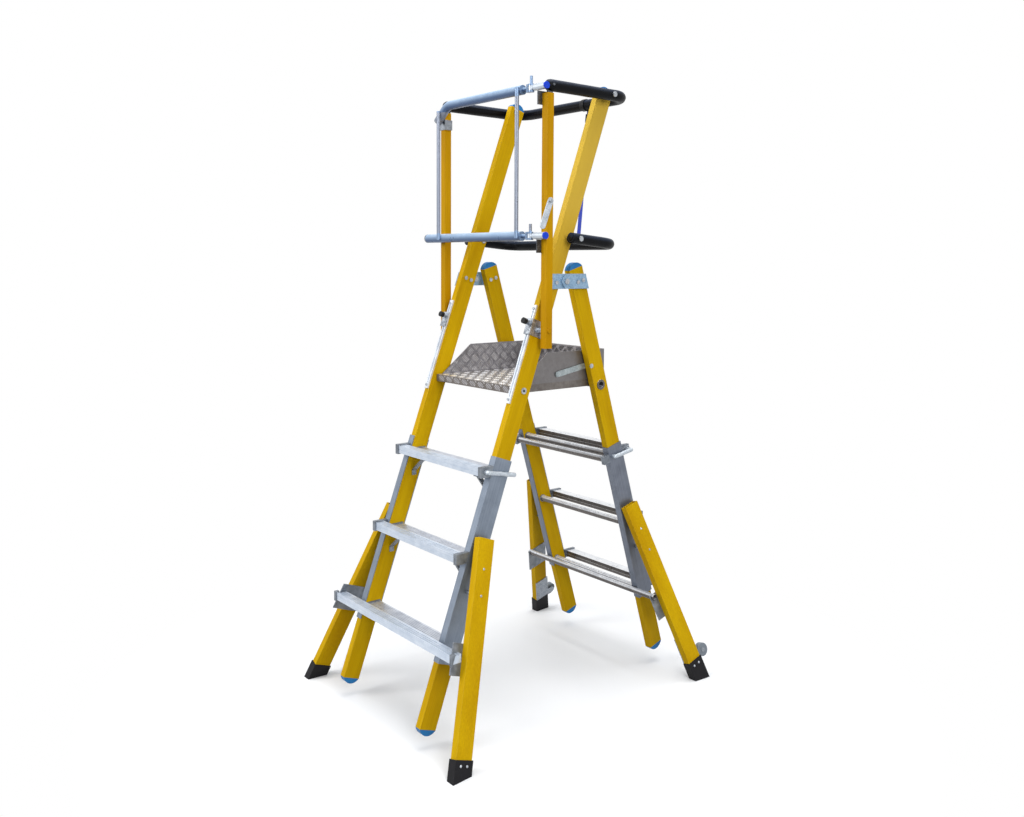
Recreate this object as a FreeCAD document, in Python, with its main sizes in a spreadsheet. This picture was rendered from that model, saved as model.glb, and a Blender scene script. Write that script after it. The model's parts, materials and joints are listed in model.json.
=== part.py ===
"""Telescopic platform step ladder with a folding guard rail, in millimetres.

Model frame: +X to the climber's right, +Y from the climbing side to the rear, +Z up, origin on the
floor at the centre of the footprint. The front frame leans back and the rear frame leans forward,
so each has a frame of its own: local Z runs up the stile, local Y goes from its front face to its
rear face and local X is the model's X.
"""
import FreeCAD, Part
import math
import os
import re
import Sketcher
from FreeCAD import Placement, Rotation, Vector

doc = FreeCAD.newDocument("platform_step_ladder")

# ---------------------------------------------------------------- driving dimensions
SIZES = {
    # the two inner frames
    "frame_width": 500.0,          # over the outer faces of the inner stiles
    "stile_width": 25.0,           # stile section across the ladder
    "stile_depth": 62.0,           # stile section front to rear
    "stile_wall": 3.5,
    "front_lean": 20.0,            # degrees from upright
    "rear_lean": 17.0,
    "front_stile_foot": 78.0,      # floor to stile end, along the stile
    "front_stile_length": 2180.0,
    "rear_stile_foot": 64.0,
    "rear_stile_length": 1499.0,
    "cap_dome": 19.0,
    "cap_plug": 18.0,
    "cap_fit": 0.2,
    # rungs, level by level
    "first_step_height": 332.0,
    "step_rise": 265.0,
    "tread_depth": 56.0,
    "tread_height": 26.0,
    "tread_wall": 2.5,
    "front_tread_drop": 15.0,      # below the outer rung in front of it
    "socket_plate": 4.0,
    "socket_rim": 4.0,
    "brace_reach": 62.0,
    "brace_drop": 66.0,
    "brace_width": 18.0,
    "brace_sheet": 3.0,
    "brace_lug": 16.0,
    "rear_tread_depth": 42.0,
    "rear_tread_height": 24.0,
    "rear_tread_drop": 7.0,        # below the front outer rung
    "rear_tread_half": 230.0,
    "rear_bar_radius": 12.0,
    "rear_bar_wall": 2.0,
    "rear_bar_inset": 18.0,        # stile front face to the bar's centre
    "rear_bar_drop": 29.0,         # below the front outer rung
    "rear_collar_radius": 14.5,
    # A-frame hinge
    "hinge_height": 1459.0,
    "hinge_front_gap": 20.0,       # pin to the front stile's rear face
    "hinge_rear_gap": 30.0,        # pin to the rear stile's front face
    "hinge_plate": 5.0,
    "hinge_plate_above": 26.0,     # pin to the leaves' level edges
    "hinge_plate_below": 25.0,
    "hinge_nose": 18.0,            # the leaf's point beyond its pin
    "hinge_bolt_drop": 18.0,       # pin to its leaf's bolts, down the stile
    "hinge_pin_radius": 6.0,
    "hinge_head_radius": 10.0,
    "hinge_head": 3.5,
    "hinge_play": 0.2,
    "hinge_bolt_radius": 4.0,
    "hinge_bolt_head_radius": 7.0,
    "hinge_bolt_head": 3.0,
    "bolt_stagger": 12.4,          # bolts off the stile's centreline
    # platform
    "deck_top": 1112.0,
    "deck_ahead": 202.0,           # deck edges, ahead of and behind the hinge pin
    "deck_behind": 222.0,
    "deck_sheet": 3.0,
    "deck_skirt": 22.0,
    "deck_side_gap": 6.0,          # stile inner face to deck side
    "toe_board_height": 104.0,
    "toe_board_slope": 130.0,
    "toe_board_ahead": 179.0,
    "platform_pivot_ahead": 180.0,  # pivot, ahead of the hinge pin
    "platform_pivot_drop": 13.0,
    "platform_pivot_radius": 7.0,
    "platform_pivot_bore_radius": 4.5,
    "platform_pivot_head_radius": 11.0,
    "platform_pivot_head": 2.5,
    "pivot_play": 0.1,
    "rest_tube_radius": 13.0,
    "rest_tube_wall": 2.5,
    "rest_tube_depth": 31.0,       # stile front face to the tube's centre
    "rest_gap": 0.3,
    "rest_collar": 3.0,
    "rest_collar_rim": 5.0,
    "saddle_width": 22.0,
    "saddle_wall": 5.0,
    "saddle_drop": 22.0,           # below the deck's underside
    "saddle_lip": 6.0,             # skirt cut back from the saddle
    "stay_front_ahead": 4.0,
    "stay_front_rise": 40.0,       # above the platform pivot
    "stay_rear_behind": 129.0,
    "stay_rear_height": 1162.0,
    "stay_width": 20.0,
    "stay_sheet": 3.0,
    "stay_gap": 1.5,               # toe board to stay
    "stay_pin_radius": 4.0,
    "stay_rivet_head": 1.0,
    # telescopic outer frames
    "channel_wall": 3.0,
    "channel_play": 0.5,
    "front_channel_foot": 283.0,
    "front_channel_top": 950.0,
    "rear_channel_foot": 285.0,
    "rear_channel_top": 900.0,
    "leg_flare": 15.0,
    "front_leg_top": 690.0,
    "rear_leg_top": 662.0,
    "leg_foot_rise": 30.0,         # leg end above the floor, along the leg
    "boot_wall": 3.0,
    "boot_height": 62.0,
    "outer_rung_depth": 34.0,
    "outer_rung_height": 27.0,
    "outer_rung_gap": 2.0,
    "rear_rung_radius": 11.0,
    "rear_rung_wall": 2.0,
    "rear_rung_drop": 32.0,        # below the rear tread's top
    "bracket_sheet": 4.0,
    "bracket_height": 96.0,
    "bracket_drop": 24.0,          # base step's top to the front brackets' middle
    "channel_lip_gap": 1.0,        # stile inner face to the flange's edge
    "outer_rung_half": 246.0,
    "base_step_half": 360.0,
    "rear_base_half": 350.0,
    "rear_base_rung_height": 306.0,
    "socket_grip": 8.0,
    "boot_play": 0.1,
    "boot_grip": 34.0,             # how far the boot reaches up the leg
    "leg_bolt_first": 96.0,
    "leg_bolt_pitch": 83.0,
    "leg_sleeve_radius": 6.0,
    # rung locks
    "lock_bar_radius": 7.4,
    "lock_gap": 1.0,
    "lock_tip_gap": 0.3,
    "lock_guide_length": 24.0,
    "lock_eye_width": 10.0,
    "lock_eye_inset": 9.0,
    "front_lock_tilt": 11.0,
    "front_lock_length": 112.0,
    "front_lock_pin": 62.0,
    "rear_lock_tilt": 10.0,
    "rear_lock_drop": 34.0,
    "rear_lock_inset": 16.0,
    "rear_lock_length": 84.0,
    "lock_boss_radius": 10.5,
    # wheels
    "wheel_radius": 24.0,
    "wheel_width": 18.0,
    "wheel_height": 72.0,
    "wheel_bore": 6.0,
    "wheel_play": 0.05,
    "wheel_gap": 2.0,
    "mount_sheet": 4.0,
    "mount_height": 100.0,
    "mount_arm": 26.0,
    # guide tracks and sliders
    "track_foot": 1128.0,
    "track_top": 1468.0,
    "track_width": 17.0,
    "track_depth": 7.0,
    "track_slot": 7.0,
    "track_slot_depth": 4.0,
    "track_bolt_inset": 13.0,
    "track_slot_end": 21.0,
    "track_bolt_radius": 5.0,
    "track_bolt_head": 3.0,
    "slider_length": 54.0,
    "slider_play": 0.5,
    "slider_sheet": 5.0,
    "slider_key": 3.0,
    "slider_boss_radius": 12.0,
    "slider_cheek_back": 14.0,     # post pivot to the cheek's rear edge
    "plunger_rise": 12.0,
    "plunger_knob": 14.0,
    "slider_height": 1298.0,
    "slider_pivot_depth": 30.0,
    "plunger_radius": 2.4,
    "plunger_knob_radius": 10.0,
    "plunger_housing_radius": 8.0,
    "plunger_housing": 12.0,
    # guard rail
    "post_size": 27.0,
    "post_wall": 2.5,
    "post_centre_x": 286.0,
    "post_foot": 1239.0,
    "rail_radius": 20.0,
    "rail_tube_radius": 14.0,
    "rail_wall": 2.0,
    "top_rail_height": 2098.0,
    "top_rail_behind": 256.0,      # rear bar, behind the hinge pin
    "rail_bend": 62.0,
    "top_pivot_depth": 24.0,
    "post_joint_back": 7.0,        # post centre to the joint with the top rail
    "post_pin_radius": 4.0,
    "mid_rail_height": 1603.0,
    "mid_rail_radius": 19.0,
    "mid_rail_half": 290.0,
    "mid_rail_ahead": 28.0,
    "mid_rail_behind": 190.0,
    "mid_rail_tilt": 5.0,
    "mid_pivot_depth": 48.0,
    "rail_bolt_radius": 5.0,
    "rail_bolt_head_radius": 9.0,
    "rail_bolt_head": 4.0,
    "rail_spacer_radius": 11.0,
    "post_tongue": 6.0,
    "post_tongue_width": 22.0,
    "post_top_gap": 6.0,
    "tongue_play": 0.6,
    "strap_width": 18.0,
    "strap_thickness": 2.0,
    "strap_side": 72.0,            # right of the middle
    "strap_clear": 0.4,            # mid rail's sleeve to the strap
    "strap_end_below": 8.0,        # below the mid rail's rear bar
    "buckle_wall": 3.0,
    "buckle_height": 30.0,
    "buckle_drop": 60.0,
    # gate
    "gate_rail_radius": 16.0,
    "gate_rail_wall": 2.0,
    "gate_top_height": 2090.0,
    "gate_mid_height": 1610.0,
    "gate_right_end": 198.0,
    "gate_bend_start": -208.0,
    "gate_left_end": -353.0,
    "gate_bend_angle": 40.0,
    "gate_bend_radius": 60.0,
    "gate_hook_length": 52.0,
    "gate_upright_radius": 7.0,
    "gate_upright_right": 190.0,
    "gate_upright_left": -260.0,
    "gate_axis_x": 240.0,
    "gate_rod_radius": 6.5,
    "gate_pin_radius": 5.0,
    "gate_pin_rise": 26.0,
    "gate_eye_radius": 10.0,
    "gate_eye_height": 14.0,
    "gate_eye_play": 0.1,
    "stub_radius": 11.5,
    "stub_right_end": 312.0,
    "stub_left_end": 259.0,
    "plug_length": 6.0,
    "clamp_sheet": 3.0,
    "clamp_height": 44.0,          # below the stub
    "gate_stand_off": 0.4,         # clamp or band face to the gate's tubes
    "clevis_gap": 0.5,
    "clevis_wall": 8.0,
    "clevis_ear": 6.0,
    "band_height": 36.0,
    "band_centre": 2028.0,
    "lever_length": 88.0,
    "lever_width": 22.0,
    "lever_sheet": 4.0,
    "lever_lean": 22.0,
    "lever_height": 1724.0,
    # small fixings
    "rivet_head_radius": 5.0,
    "rivet_head": 2.5,
    "rivet_hole_play": 0.1,
}

sheet = doc.addObject("Spreadsheet::Sheet", "Sizes")
for row, (alias, value) in enumerate(SIZES.items(), start=1):
    sheet.set("A%d" % row, alias)
    sheet.set("B%d" % row, str(value))
    sheet.setAlias("B%d" % row, alias)
working = doc.addObject("Spreadsheet::Sheet", "Working")
doc.recompute()


class Values:
    """The sheet's numbers by name, for places that are worked out in code."""


v = Values()
for alias in SIZES:
    setattr(v, alias, float(sheet.get(alias)))


# ---------------------------------------------------------------- tools of this model
def named(text):
    """The same expression with each plain name pointing at the sheet."""
    return re.sub(r"[a-z][a-z_]+[a-z]", lambda word: "Sizes." + word.group(0), text)


def bind(obj, prop, text):
    """Binds a property to an expression written with the sheet's plain names."""
    obj.setExpression(prop, named(text))


def box(name, length, width, height, at):
    """A block whose sides are expressions on the sheet."""
    block = doc.addObject("Part::Box", name)
    bind(block, "Length", length)
    bind(block, "Width", width)
    bind(block, "Height", height)
    block.Placement = at
    return block


def rod(name, radius, height, at):
    """A cylinder along its placement's Z axis."""
    bar = doc.addObject("Part::Cylinder", name)
    bind(bar, "Radius", radius)
    bind(bar, "Height", height)
    bar.Placement = at
    return bar


def ball(name, radius, at):
    sphere = doc.addObject("Part::Sphere", name)
    bind(sphere, "Radius", radius)
    sphere.Placement = at
    return sphere


def fuse(name, *shapes):
    union = doc.addObject("Part::MultiFuse", name)
    union.Shapes = list(shapes)
    return union


def group(name, *shapes):
    """Separate solids that share one node."""
    together = doc.addObject("Part::Compound", name)
    together.Links = list(shapes)
    return together


def cut(name, base, *tools):
    result = doc.addObject("Part::Cut", name)
    result.Base = base
    result.Tool = tools[0] if len(tools) == 1 else fuse(name + "_tools", *tools)
    return result


def common(name, first, second):
    result = doc.addObject("Part::MultiCommon", name)
    result.Shapes = [first, second]
    return result


def origin_plane(body, role):
    return next(item for item in body.Origin.OriginFeatures if item.Role == role)


def outline(sketch, corners):
    """A closed outline; each corner is a pair of expressions measured from the sketch's origin."""
    start = sketch.GeometryCount
    count = len(corners)
    points = [(number(across), number(along)) for across, along in corners]
    for index, (x, y) in enumerate(points):
        end_x, end_y = points[(index + 1) % count]
        sketch.addGeometry(Part.LineSegment(Vector(x, y, 0), Vector(end_x, end_y, 0)), False)
    for index in range(count):
        following = start + (index + 1) % count
        sketch.addConstraint(Sketcher.Constraint("Coincident", start + index, 2, following, 1))
    for index, (across, along) in enumerate(corners):
        for kind, text, value in (("DistanceX", across, points[index][0]),
                                  ("DistanceY", along, points[index][1])):
            datum = sketch.addConstraint(Sketcher.Constraint(kind, -1, 1, start + index, 1, value))
            bind(sketch, "Constraints[%d]" % datum, text)


def number(text):
    """The value that an expression on the sheet's names has."""
    working.set("A1", "=" + named(text))
    working.recompute()
    return float(working.get("A1"))


def plate(name, corners, thickness, at):
    """A PartDesign pad of an outline, along its placement's Z axis."""
    body = doc.addObject("PartDesign::Body", name)
    sketch = body.newObject("Sketcher::SketchObject", name + "_outline")
    sketch.AttachmentSupport = [(origin_plane(body, "XY_Plane"), "")]
    sketch.MapMode = "FlatFace"
    outline(sketch, corners)
    pad = body.newObject("PartDesign::Pad", name + "_pad")
    pad.Profile = sketch
    bind(pad, "Length", thickness)
    body.Tip = pad
    body.Placement = at
    return body


UPRIGHT = Rotation()
ALONG_X = Rotation(Vector(0, 1, 0), 90)          # a rod's Z axis turned to +X
ALONG_Y = Rotation(Vector(1, 0, 0), -90)         # to +Y
FORWARD = Rotation(Vector(1, 0, 0), 90)          # to -Y
SIDE_VIEW = Rotation(Vector(1, 1, 1), 120)       # a sketch read as (Y, Z), padded along +X
FRONT_VIEW = Rotation(Vector(1, 0, 0), 90)       # a sketch read as (X, Z), padded along -Y
SIDES = (("left", -1), ("right", 1))


def start_x(side, inner, width):
    """Lower X of something that reaches outwards from |X| = inner by width."""
    return inner if side > 0 else -inner - width


def at_point(x, y, z, turn=UPRIGHT):
    return Placement(Vector(x, y, z), turn)


nodes = []


def keep(label, obj):
    """Names a finished sub-part, which becomes a file of its own."""
    obj.Label = label
    nodes.append(obj)
    return obj


# ---------------------------------------------------------------- the two leaning frames
def lean_sine(angle):
    return math.sin(math.radians(angle))


def lean_cosine(angle):
    return math.cos(math.radians(angle))


front_sin, front_cos = lean_sine(v.front_lean), lean_cosine(v.front_lean)
rear_sin, rear_cos = lean_sine(v.rear_lean), lean_cosine(v.rear_lean)
stile_outer = v.frame_width / 2
stile_inner = stile_outer - v.stile_width

# the frames' front faces meet the floor here, measured from the hinge pin
front_pin_depth = v.stile_depth + v.hinge_front_gap
front_to_pin = (v.hinge_height + front_pin_depth * front_sin) * front_sin / front_cos \
    + front_pin_depth * front_cos
rear_to_pin = (v.hinge_height + v.hinge_rear_gap * rear_sin) * rear_sin / rear_cos \
    + v.hinge_rear_gap * rear_cos
# the footprint runs from the front boot's edge to the rear wheel's tread
leg_sin, leg_cos = lean_sine(v.leg_flare), lean_cosine(v.leg_flare)
boot_front = (v.boot_wall + v.boot_play) / front_cos
wheel_depth = v.stile_depth + v.wheel_gap + v.wheel_radius
axle_slope = leg_sin * rear_sin
wheel_rear = wheel_depth * rear_cos - v.wheel_height * leg_cos * rear_sin \
    + v.wheel_radius * math.sqrt(1 - axle_slope ** 2) + v.wheel_width / 2 * axle_slope
footprint = boot_front + front_to_pin + rear_to_pin + wheel_rear
front_face_y = boot_front - footprint / 2
hinge_y = front_face_y + front_to_pin
rear_face_y = hinge_y + rear_to_pin
platform_pivot_y = hinge_y - v.platform_pivot_ahead
stay_front_y = hinge_y - v.stay_front_ahead
stay_rear_y = hinge_y + v.stay_rear_behind

FRONT = Placement(Vector(0, front_face_y, 0), Rotation(Vector(1, 0, 0), -v.front_lean))
REAR = Placement(Vector(0, rear_face_y, 0), Rotation(Vector(1, 0, 0), v.rear_lean))


def in_frame(frame, x, y, z, turn=UPRIGHT):
    return frame * Placement(Vector(x, y, z), turn)


def front_at(height, depth):
    """World Y of the point at this height that lies this deep behind the front stiles' front face."""
    return front_face_y + height * front_sin / front_cos + depth / front_cos


def rear_at(height, depth):
    return rear_face_y - height * rear_sin / rear_cos + depth / rear_cos


def front_along(height, depth):
    """Distance up the front stile of a point at this height and depth."""
    return (height + depth * front_sin) / front_cos


def rear_along(height, depth):
    return (height - depth * rear_sin) / rear_cos


STEPS = [v.first_step_height + level * v.step_rise for level in range(3)]


# ---------------------------------------------------------------- stiles and their caps
def stile(label, frame, side, foot, length_name, holes):
    """A hollow box-section stile, drilled across at each (along, depth, radius expression)."""
    x = start_x(side, stile_inner, v.stile_width)
    outer = box(label + "_outer", "stile_width", "stile_depth", length_name, in_frame(frame, x, 0, foot))
    hollow = box(label + "_hollow", "stile_width - 2 * stile_wall", "stile_depth - 2 * stile_wall",
                 length_name, in_frame(frame, x + v.stile_wall, v.stile_wall, foot))
    drills = [rod("%s_drill_%d" % (label, index), radius, "stile_width * 3",
                  in_frame(frame, x - v.stile_width, depth, along, ALONG_X))
              for index, (along, depth, radius) in enumerate(holes)]
    return cut(label, outer, hollow, *drills)


def cap(name, frame, side, along, up):
    """A domed plastic end cap with the plug that holds it in the stile."""
    turn = UPRIGHT if up else Rotation(Vector(0, 1, 0), 180)
    x = start_x(side, stile_inner, v.stile_width) + (0 if up else v.stile_width)
    dome_radius = "stile_depth * stile_depth / cap_dome / 8 + cap_dome / 2"
    slab = box(name + "_slab", "stile_width", "stile_depth", "cap_dome",
               in_frame(frame, x, 0, along, turn))
    lift = v.cap_dome - (v.stile_depth ** 2 / v.cap_dome / 8 + v.cap_dome / 2)
    barrel = rod(name + "_barrel", dome_radius, "stile_width",
                 in_frame(frame, x, 0, along, turn) * Placement(Vector(0, v.stile_depth / 2, lift), ALONG_X))
    gap = v.stile_wall + v.cap_fit
    plug = box(name + "_plug", "stile_width - 2 * stile_wall - 2 * cap_fit",
               "stile_depth - 2 * stile_wall - 2 * cap_fit", "cap_plug",
               in_frame(frame, x, 0, along, turn) * at_point(gap, gap, -v.cap_plug))
    return fuse(name, common(name + "_dome", slab, barrel), plug)


front_top = v.front_stile_foot + v.front_stile_length
rear_top = v.rear_stile_foot + v.rear_stile_length
hinge_along_front = front_along(v.hinge_height, front_pin_depth)
hinge_along_rear = rear_along(v.hinge_height, -v.hinge_rear_gap)
platform_pivot_height = v.deck_top - v.platform_pivot_drop
platform_pivot_depth = (platform_pivot_y - front_at(platform_pivot_height, 0)) * front_cos
bolt_depths = (v.stile_depth / 2 - v.bolt_stagger, v.stile_depth / 2 + v.bolt_stagger)
stay_rear_depth = (stay_rear_y - rear_at(v.stay_rear_height, 0)) * rear_cos
rest_height = v.deck_top - v.deck_sheet - v.rest_gap - v.deck_sheet - v.rest_tube_radius

HINGE_HOLE = "hinge_bolt_radius + rivet_hole_play"
front_holes = [(hinge_along_front - v.hinge_bolt_drop, depth, HINGE_HOLE) for depth in bolt_depths]
front_holes.append((front_along(platform_pivot_height, platform_pivot_depth), platform_pivot_depth,
                    "platform_pivot_radius + rivet_hole_play"))
front_holes.append((front_along(v.top_rail_height, v.top_pivot_depth), v.top_pivot_depth,
                    "rail_bolt_radius + rivet_hole_play"))
front_holes.append((front_along(v.mid_rail_height, v.mid_pivot_depth), v.mid_pivot_depth,
                    "rail_bolt_radius + rivet_hole_play"))
rear_holes = [(hinge_along_rear - v.hinge_bolt_drop, depth, HINGE_HOLE) for depth in bolt_depths]
rear_holes.append((rear_along(rest_height, v.rest_tube_depth), v.rest_tube_depth,
                   "rest_tube_radius + rivet_hole_play"))
rear_holes.append((rear_along(v.stay_rear_height, stay_rear_depth), stay_rear_depth,
                   "stay_pin_radius + rivet_hole_play"))

keep("front_stiles", group("front_stile_pair", *[
    stile("front_stile_" + side_name, FRONT, side, v.front_stile_foot, "front_stile_length",
          front_holes) for side_name, side in SIDES]))
keep("rear_stiles", group("rear_stile_pair", *[
    stile("rear_stile_" + side_name, REAR, side, v.rear_stile_foot, "rear_stile_length",
          rear_holes) for side_name, side in SIDES]))

for frame_name, frame, foot, top in (("front", FRONT, v.front_stile_foot, front_top),
                                     ("rear", REAR, v.rear_stile_foot, rear_top)):
    caps = []
    for side_name, side in SIDES:
        cover = cap("%s_cap_%s_top" % (frame_name, side_name), frame, side, top, True)
        if frame is FRONT:
            cover = cut(cover.Name + "_drilled", cover,
                        rod(cover.Name + "_drill", "rail_bolt_radius + rivet_hole_play", "frame_width",
                            in_frame(FRONT, -stile_outer, v.top_pivot_depth,
                                     front_along(v.top_rail_height, v.top_pivot_depth), ALONG_X)))
        caps.append(cover)
        caps.append(cap("%s_cap_%s_foot" % (frame_name, side_name), frame, side, foot, False))
    keep(frame_name + "_stile_caps", group(frame_name + "_caps", *caps))


# ---------------------------------------------------------------- inner treads, sockets, braces, ties
def tread(name, depth, height, y, top):
    """A hollow tread between the end sockets; y is its front face."""
    x = -stile_inner + v.socket_plate
    length = "frame_width - 2 * stile_width - 2 * socket_plate"
    outer = box(name + "_outer", length, depth, height, at_point(x, y, top - number(height)))
    hollow = box(name + "_hollow", length, depth + " - 2 * tread_wall", height + " - 2 * tread_wall",
                 at_point(x, y + v.tread_wall, top - number(height) + v.tread_wall))
    return cut(name, outer, hollow)


def socket(name, side, depth, height, y, top):
    """The flanged plate that holds a tread's end on the stile's inner face."""
    x = start_x(side, stile_inner - v.socket_plate, v.socket_plate)
    return box(name, "socket_plate", depth + " + socket_rim", height + " + 2 * socket_rim",
               at_point(x, y - v.socket_rim / 2, top - number(height) - v.socket_rim))


def brace(name, side, y, under):
    """A flat strip from a tread's underside down to a foot on the stile's inner face."""
    corners = [("0", "0"), ("brace_sheet", "0"), ("brace_sheet", "brace_lug"),
               ("brace_reach", "brace_drop - brace_sheet"),
               ("brace_reach + brace_lug", "brace_drop - brace_sheet"),
               ("brace_reach + brace_lug", "brace_drop"),
               ("brace_reach - brace_sheet", "brace_drop"), ("0", "brace_lug + brace_sheet")]
    turn = FRONT_VIEW if side < 0 else Rotation(Vector(0, 0, 1), 180) * FRONT_VIEW
    start = y + side * -v.brace_width / 2
    return plate(name, corners, "brace_width",
                 at_point(side * stile_inner, start, under - v.brace_drop, turn))


front_treads, front_sockets = [], []
rear_collars, rear_bars = [], []
for level, top in enumerate(STEPS):
    front_tread_top = top - v.front_tread_drop
    front_y = (front_at(front_tread_top - v.tread_height / 2, v.stile_depth / 2)
               - v.tread_depth / 2)
    front_treads.append(tread("front_tread_%d" % level, "tread_depth", "tread_height",
                              front_y, front_tread_top))
    bar_height = top - v.rear_bar_drop
    bar_y = rear_at(bar_height, v.rear_bar_inset)
    start = at_point(-stile_inner + v.socket_plate, bar_y, bar_height, ALONG_X)
    reach = "frame_width - 2 * stile_width - 2 * socket_plate"
    rear_bars.append(cut("rear_bar_%d" % level,
                         rod("rear_bar_outer_%d" % level, "rear_bar_radius", reach, start),
                         rod("rear_bar_bore_%d" % level, "rear_bar_radius - rear_bar_wall",
                             reach, start)))
    for side_name, side in SIDES:
        tag = "_%d_%s" % (level, side_name)
        front_sockets.append(socket("front_socket" + tag, side, "tread_depth", "tread_height",
                                    front_y, front_tread_top))
        rear_collars.append(rod("rear_collar" + tag, "rear_collar_radius", "socket_plate",
                                at_point(start_x(side, stile_inner - v.socket_plate, v.socket_plate),
                                         bar_y, bar_height, ALONG_X)))
        if level > 0:
            under = front_tread_top - v.tread_height - v.socket_rim
            front_sockets.append(brace("brace" + tag, side, front_at(under - v.brace_drop / 2,
                                                                     v.stile_depth / 2), under))
keep("front_treads", group("front_tread_set", *front_treads))
keep("front_tread_sockets", group("front_socket_set", *front_sockets))
keep("rear_rungs", group("rear_bar_set", *rear_bars))
keep("rear_rung_collars", group("rear_collar_set", *rear_collars))


# ---------------------------------------------------------------- A-frame hinge
def leaf_outline(near, far, slope, end):
    """A strip with level edges; X runs to the rear from the pin. Its ends follow a stile's faces."""
    low, high = -v.hinge_plate_below, v.hinge_plate_above
    points = [(near + low * slope, low), (far + low * slope, low),
              (far + high * slope, high), (near + high * slope, high)]
    if end > 0:
        points[1:3] = [(end, low), (end + v.hinge_nose, 0), (end, high)]
    elif end < 0:
        points = [(end, high), (end - v.hinge_nose, 0), (end, low)] + points[1:3]
    return [("%r" % across, "%r" % up) for across, up in points]


def beside_pin(x):
    return at_point(x, hinge_y, v.hinge_height, SIDE_VIEW)


def front_leaf(name, side):
    x = start_x(side, stile_outer, v.hinge_plate)
    far_face = -front_pin_depth / front_cos
    return plate(name, leaf_outline(far_face, 0, front_sin / front_cos, v.hinge_pin_radius),
                 "hinge_plate", beside_pin(x))


def rear_leaf(name, side):
    """The rear leaf runs outside the front leaf and is packed out to the stile behind it."""
    x = start_x(side, stile_outer + v.hinge_plate + v.hinge_play, v.hinge_plate)
    near_face = v.hinge_rear_gap / rear_cos
    far_face = (v.hinge_rear_gap + v.stile_depth) / rear_cos
    slope = -rear_sin / rear_cos
    strap = plate(name + "_strap", leaf_outline(0, far_face, slope, -v.hinge_pin_radius),
                  "hinge_plate", beside_pin(x))
    packer = plate(name + "_packer", leaf_outline(near_face, far_face, slope, 0),
                   "hinge_plate + hinge_play",
                   beside_pin(start_x(side, stile_outer, v.hinge_plate + v.hinge_play)))
    return fuse(name, strap, packer)


def headed_bolt(name, side, inner, shank, outer, length, head, head_height, y, z, nut=True):
    """A bolt across the ladder: its shank runs outwards from |X| = inner, the head outside."""
    pieces = [rod(name + "_shank", shank, outer, at_point(start_x(side, inner, length), y, z, ALONG_X)),
              rod(name + "_head", head, head_height,
                  at_point(start_x(side, inner + length, number(head_height)), y, z, ALONG_X))]
    if nut:
        pieces.append(rod(name + "_nut", head, head_height,
                          at_point(start_x(side, inner - number(head_height), number(head_height)),
                                   y, z, ALONG_X)))
    return fuse(name, *pieces)


def drilled(name, base, holes):
    """Holes across the ladder, each (y, z, radius expression)."""
    drills = [rod("%s_drill_%d" % (name, index), radius, "frame_width * 2",
                  at_point(-v.frame_width, y, z, ALONG_X))
              for index, (y, z, radius) in enumerate(holes)]
    return cut(name, base, *drills)


def front_point(along, depth):
    """World (y, z) of a point given up the front stile and behind its front face."""
    point = FRONT.multVec(Vector(0, depth, along))
    return point.y, point.z


def rear_point(along, depth):
    point = REAR.multVec(Vector(0, depth, along))
    return point.y, point.z


front_leaf_bolts = [front_point(hinge_along_front - v.hinge_bolt_drop, depth)
                    for depth in bolt_depths]
rear_leaf_bolts = [rear_point(hinge_along_rear - v.hinge_bolt_drop, depth) for depth in bolt_depths]
hinge_pin_hole = (hinge_y, v.hinge_height, "hinge_pin_radius + pivot_play")
front_leaves, rear_leaves, front_bolts, rear_bolts = [], [], [], []
for side_name, side in SIDES:
    holes = [(y, z, HINGE_HOLE) for y, z in front_leaf_bolts] + [hinge_pin_hole]
    front_leaves.append(drilled("front_leaf_" + side_name, front_leaf("front_blank_" + side_name, side),
                                holes))
    holes = [(y, z, HINGE_HOLE) for y, z in rear_leaf_bolts] + [hinge_pin_hole]
    rear_leaves.append(drilled("rear_leaf_" + side_name, rear_leaf("rear_blank_" + side_name, side),
                               holes))
    for index, (y, z) in enumerate(front_leaf_bolts):
        front_bolts.append(headed_bolt("front_leaf_bolt_%d_%s" % (index, side_name), side, stile_inner,
                                       "hinge_bolt_radius", "stile_width + hinge_plate",
                                       v.stile_width + v.hinge_plate, "hinge_bolt_head_radius",
                                       "hinge_bolt_head", y, z))
    for index, (y, z) in enumerate(rear_leaf_bolts):
        grip = v.stile_width + 2 * v.hinge_plate + v.hinge_play
        rear_bolts.append(headed_bolt("rear_leaf_bolt_%d_%s" % (index, side_name), side, stile_inner,
                                      "hinge_bolt_radius", "stile_width + 2 * hinge_plate + hinge_play",
                                      grip, "hinge_bolt_head_radius", "hinge_bolt_head", y, z))
    front_bolts.append(headed_bolt("hinge_pin_" + side_name, side, stile_outer, "hinge_pin_radius",
                                   "2 * hinge_plate + 2 * hinge_play",
                                   2 * v.hinge_plate + 2 * v.hinge_play, "hinge_head_radius",
                                   "hinge_head", hinge_y, v.hinge_height))
keep("front_hinge_leaves", group("front_leaf_set", *front_leaves))
keep("rear_hinge_leaves", group("rear_leaf_set", *rear_leaves))


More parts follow.
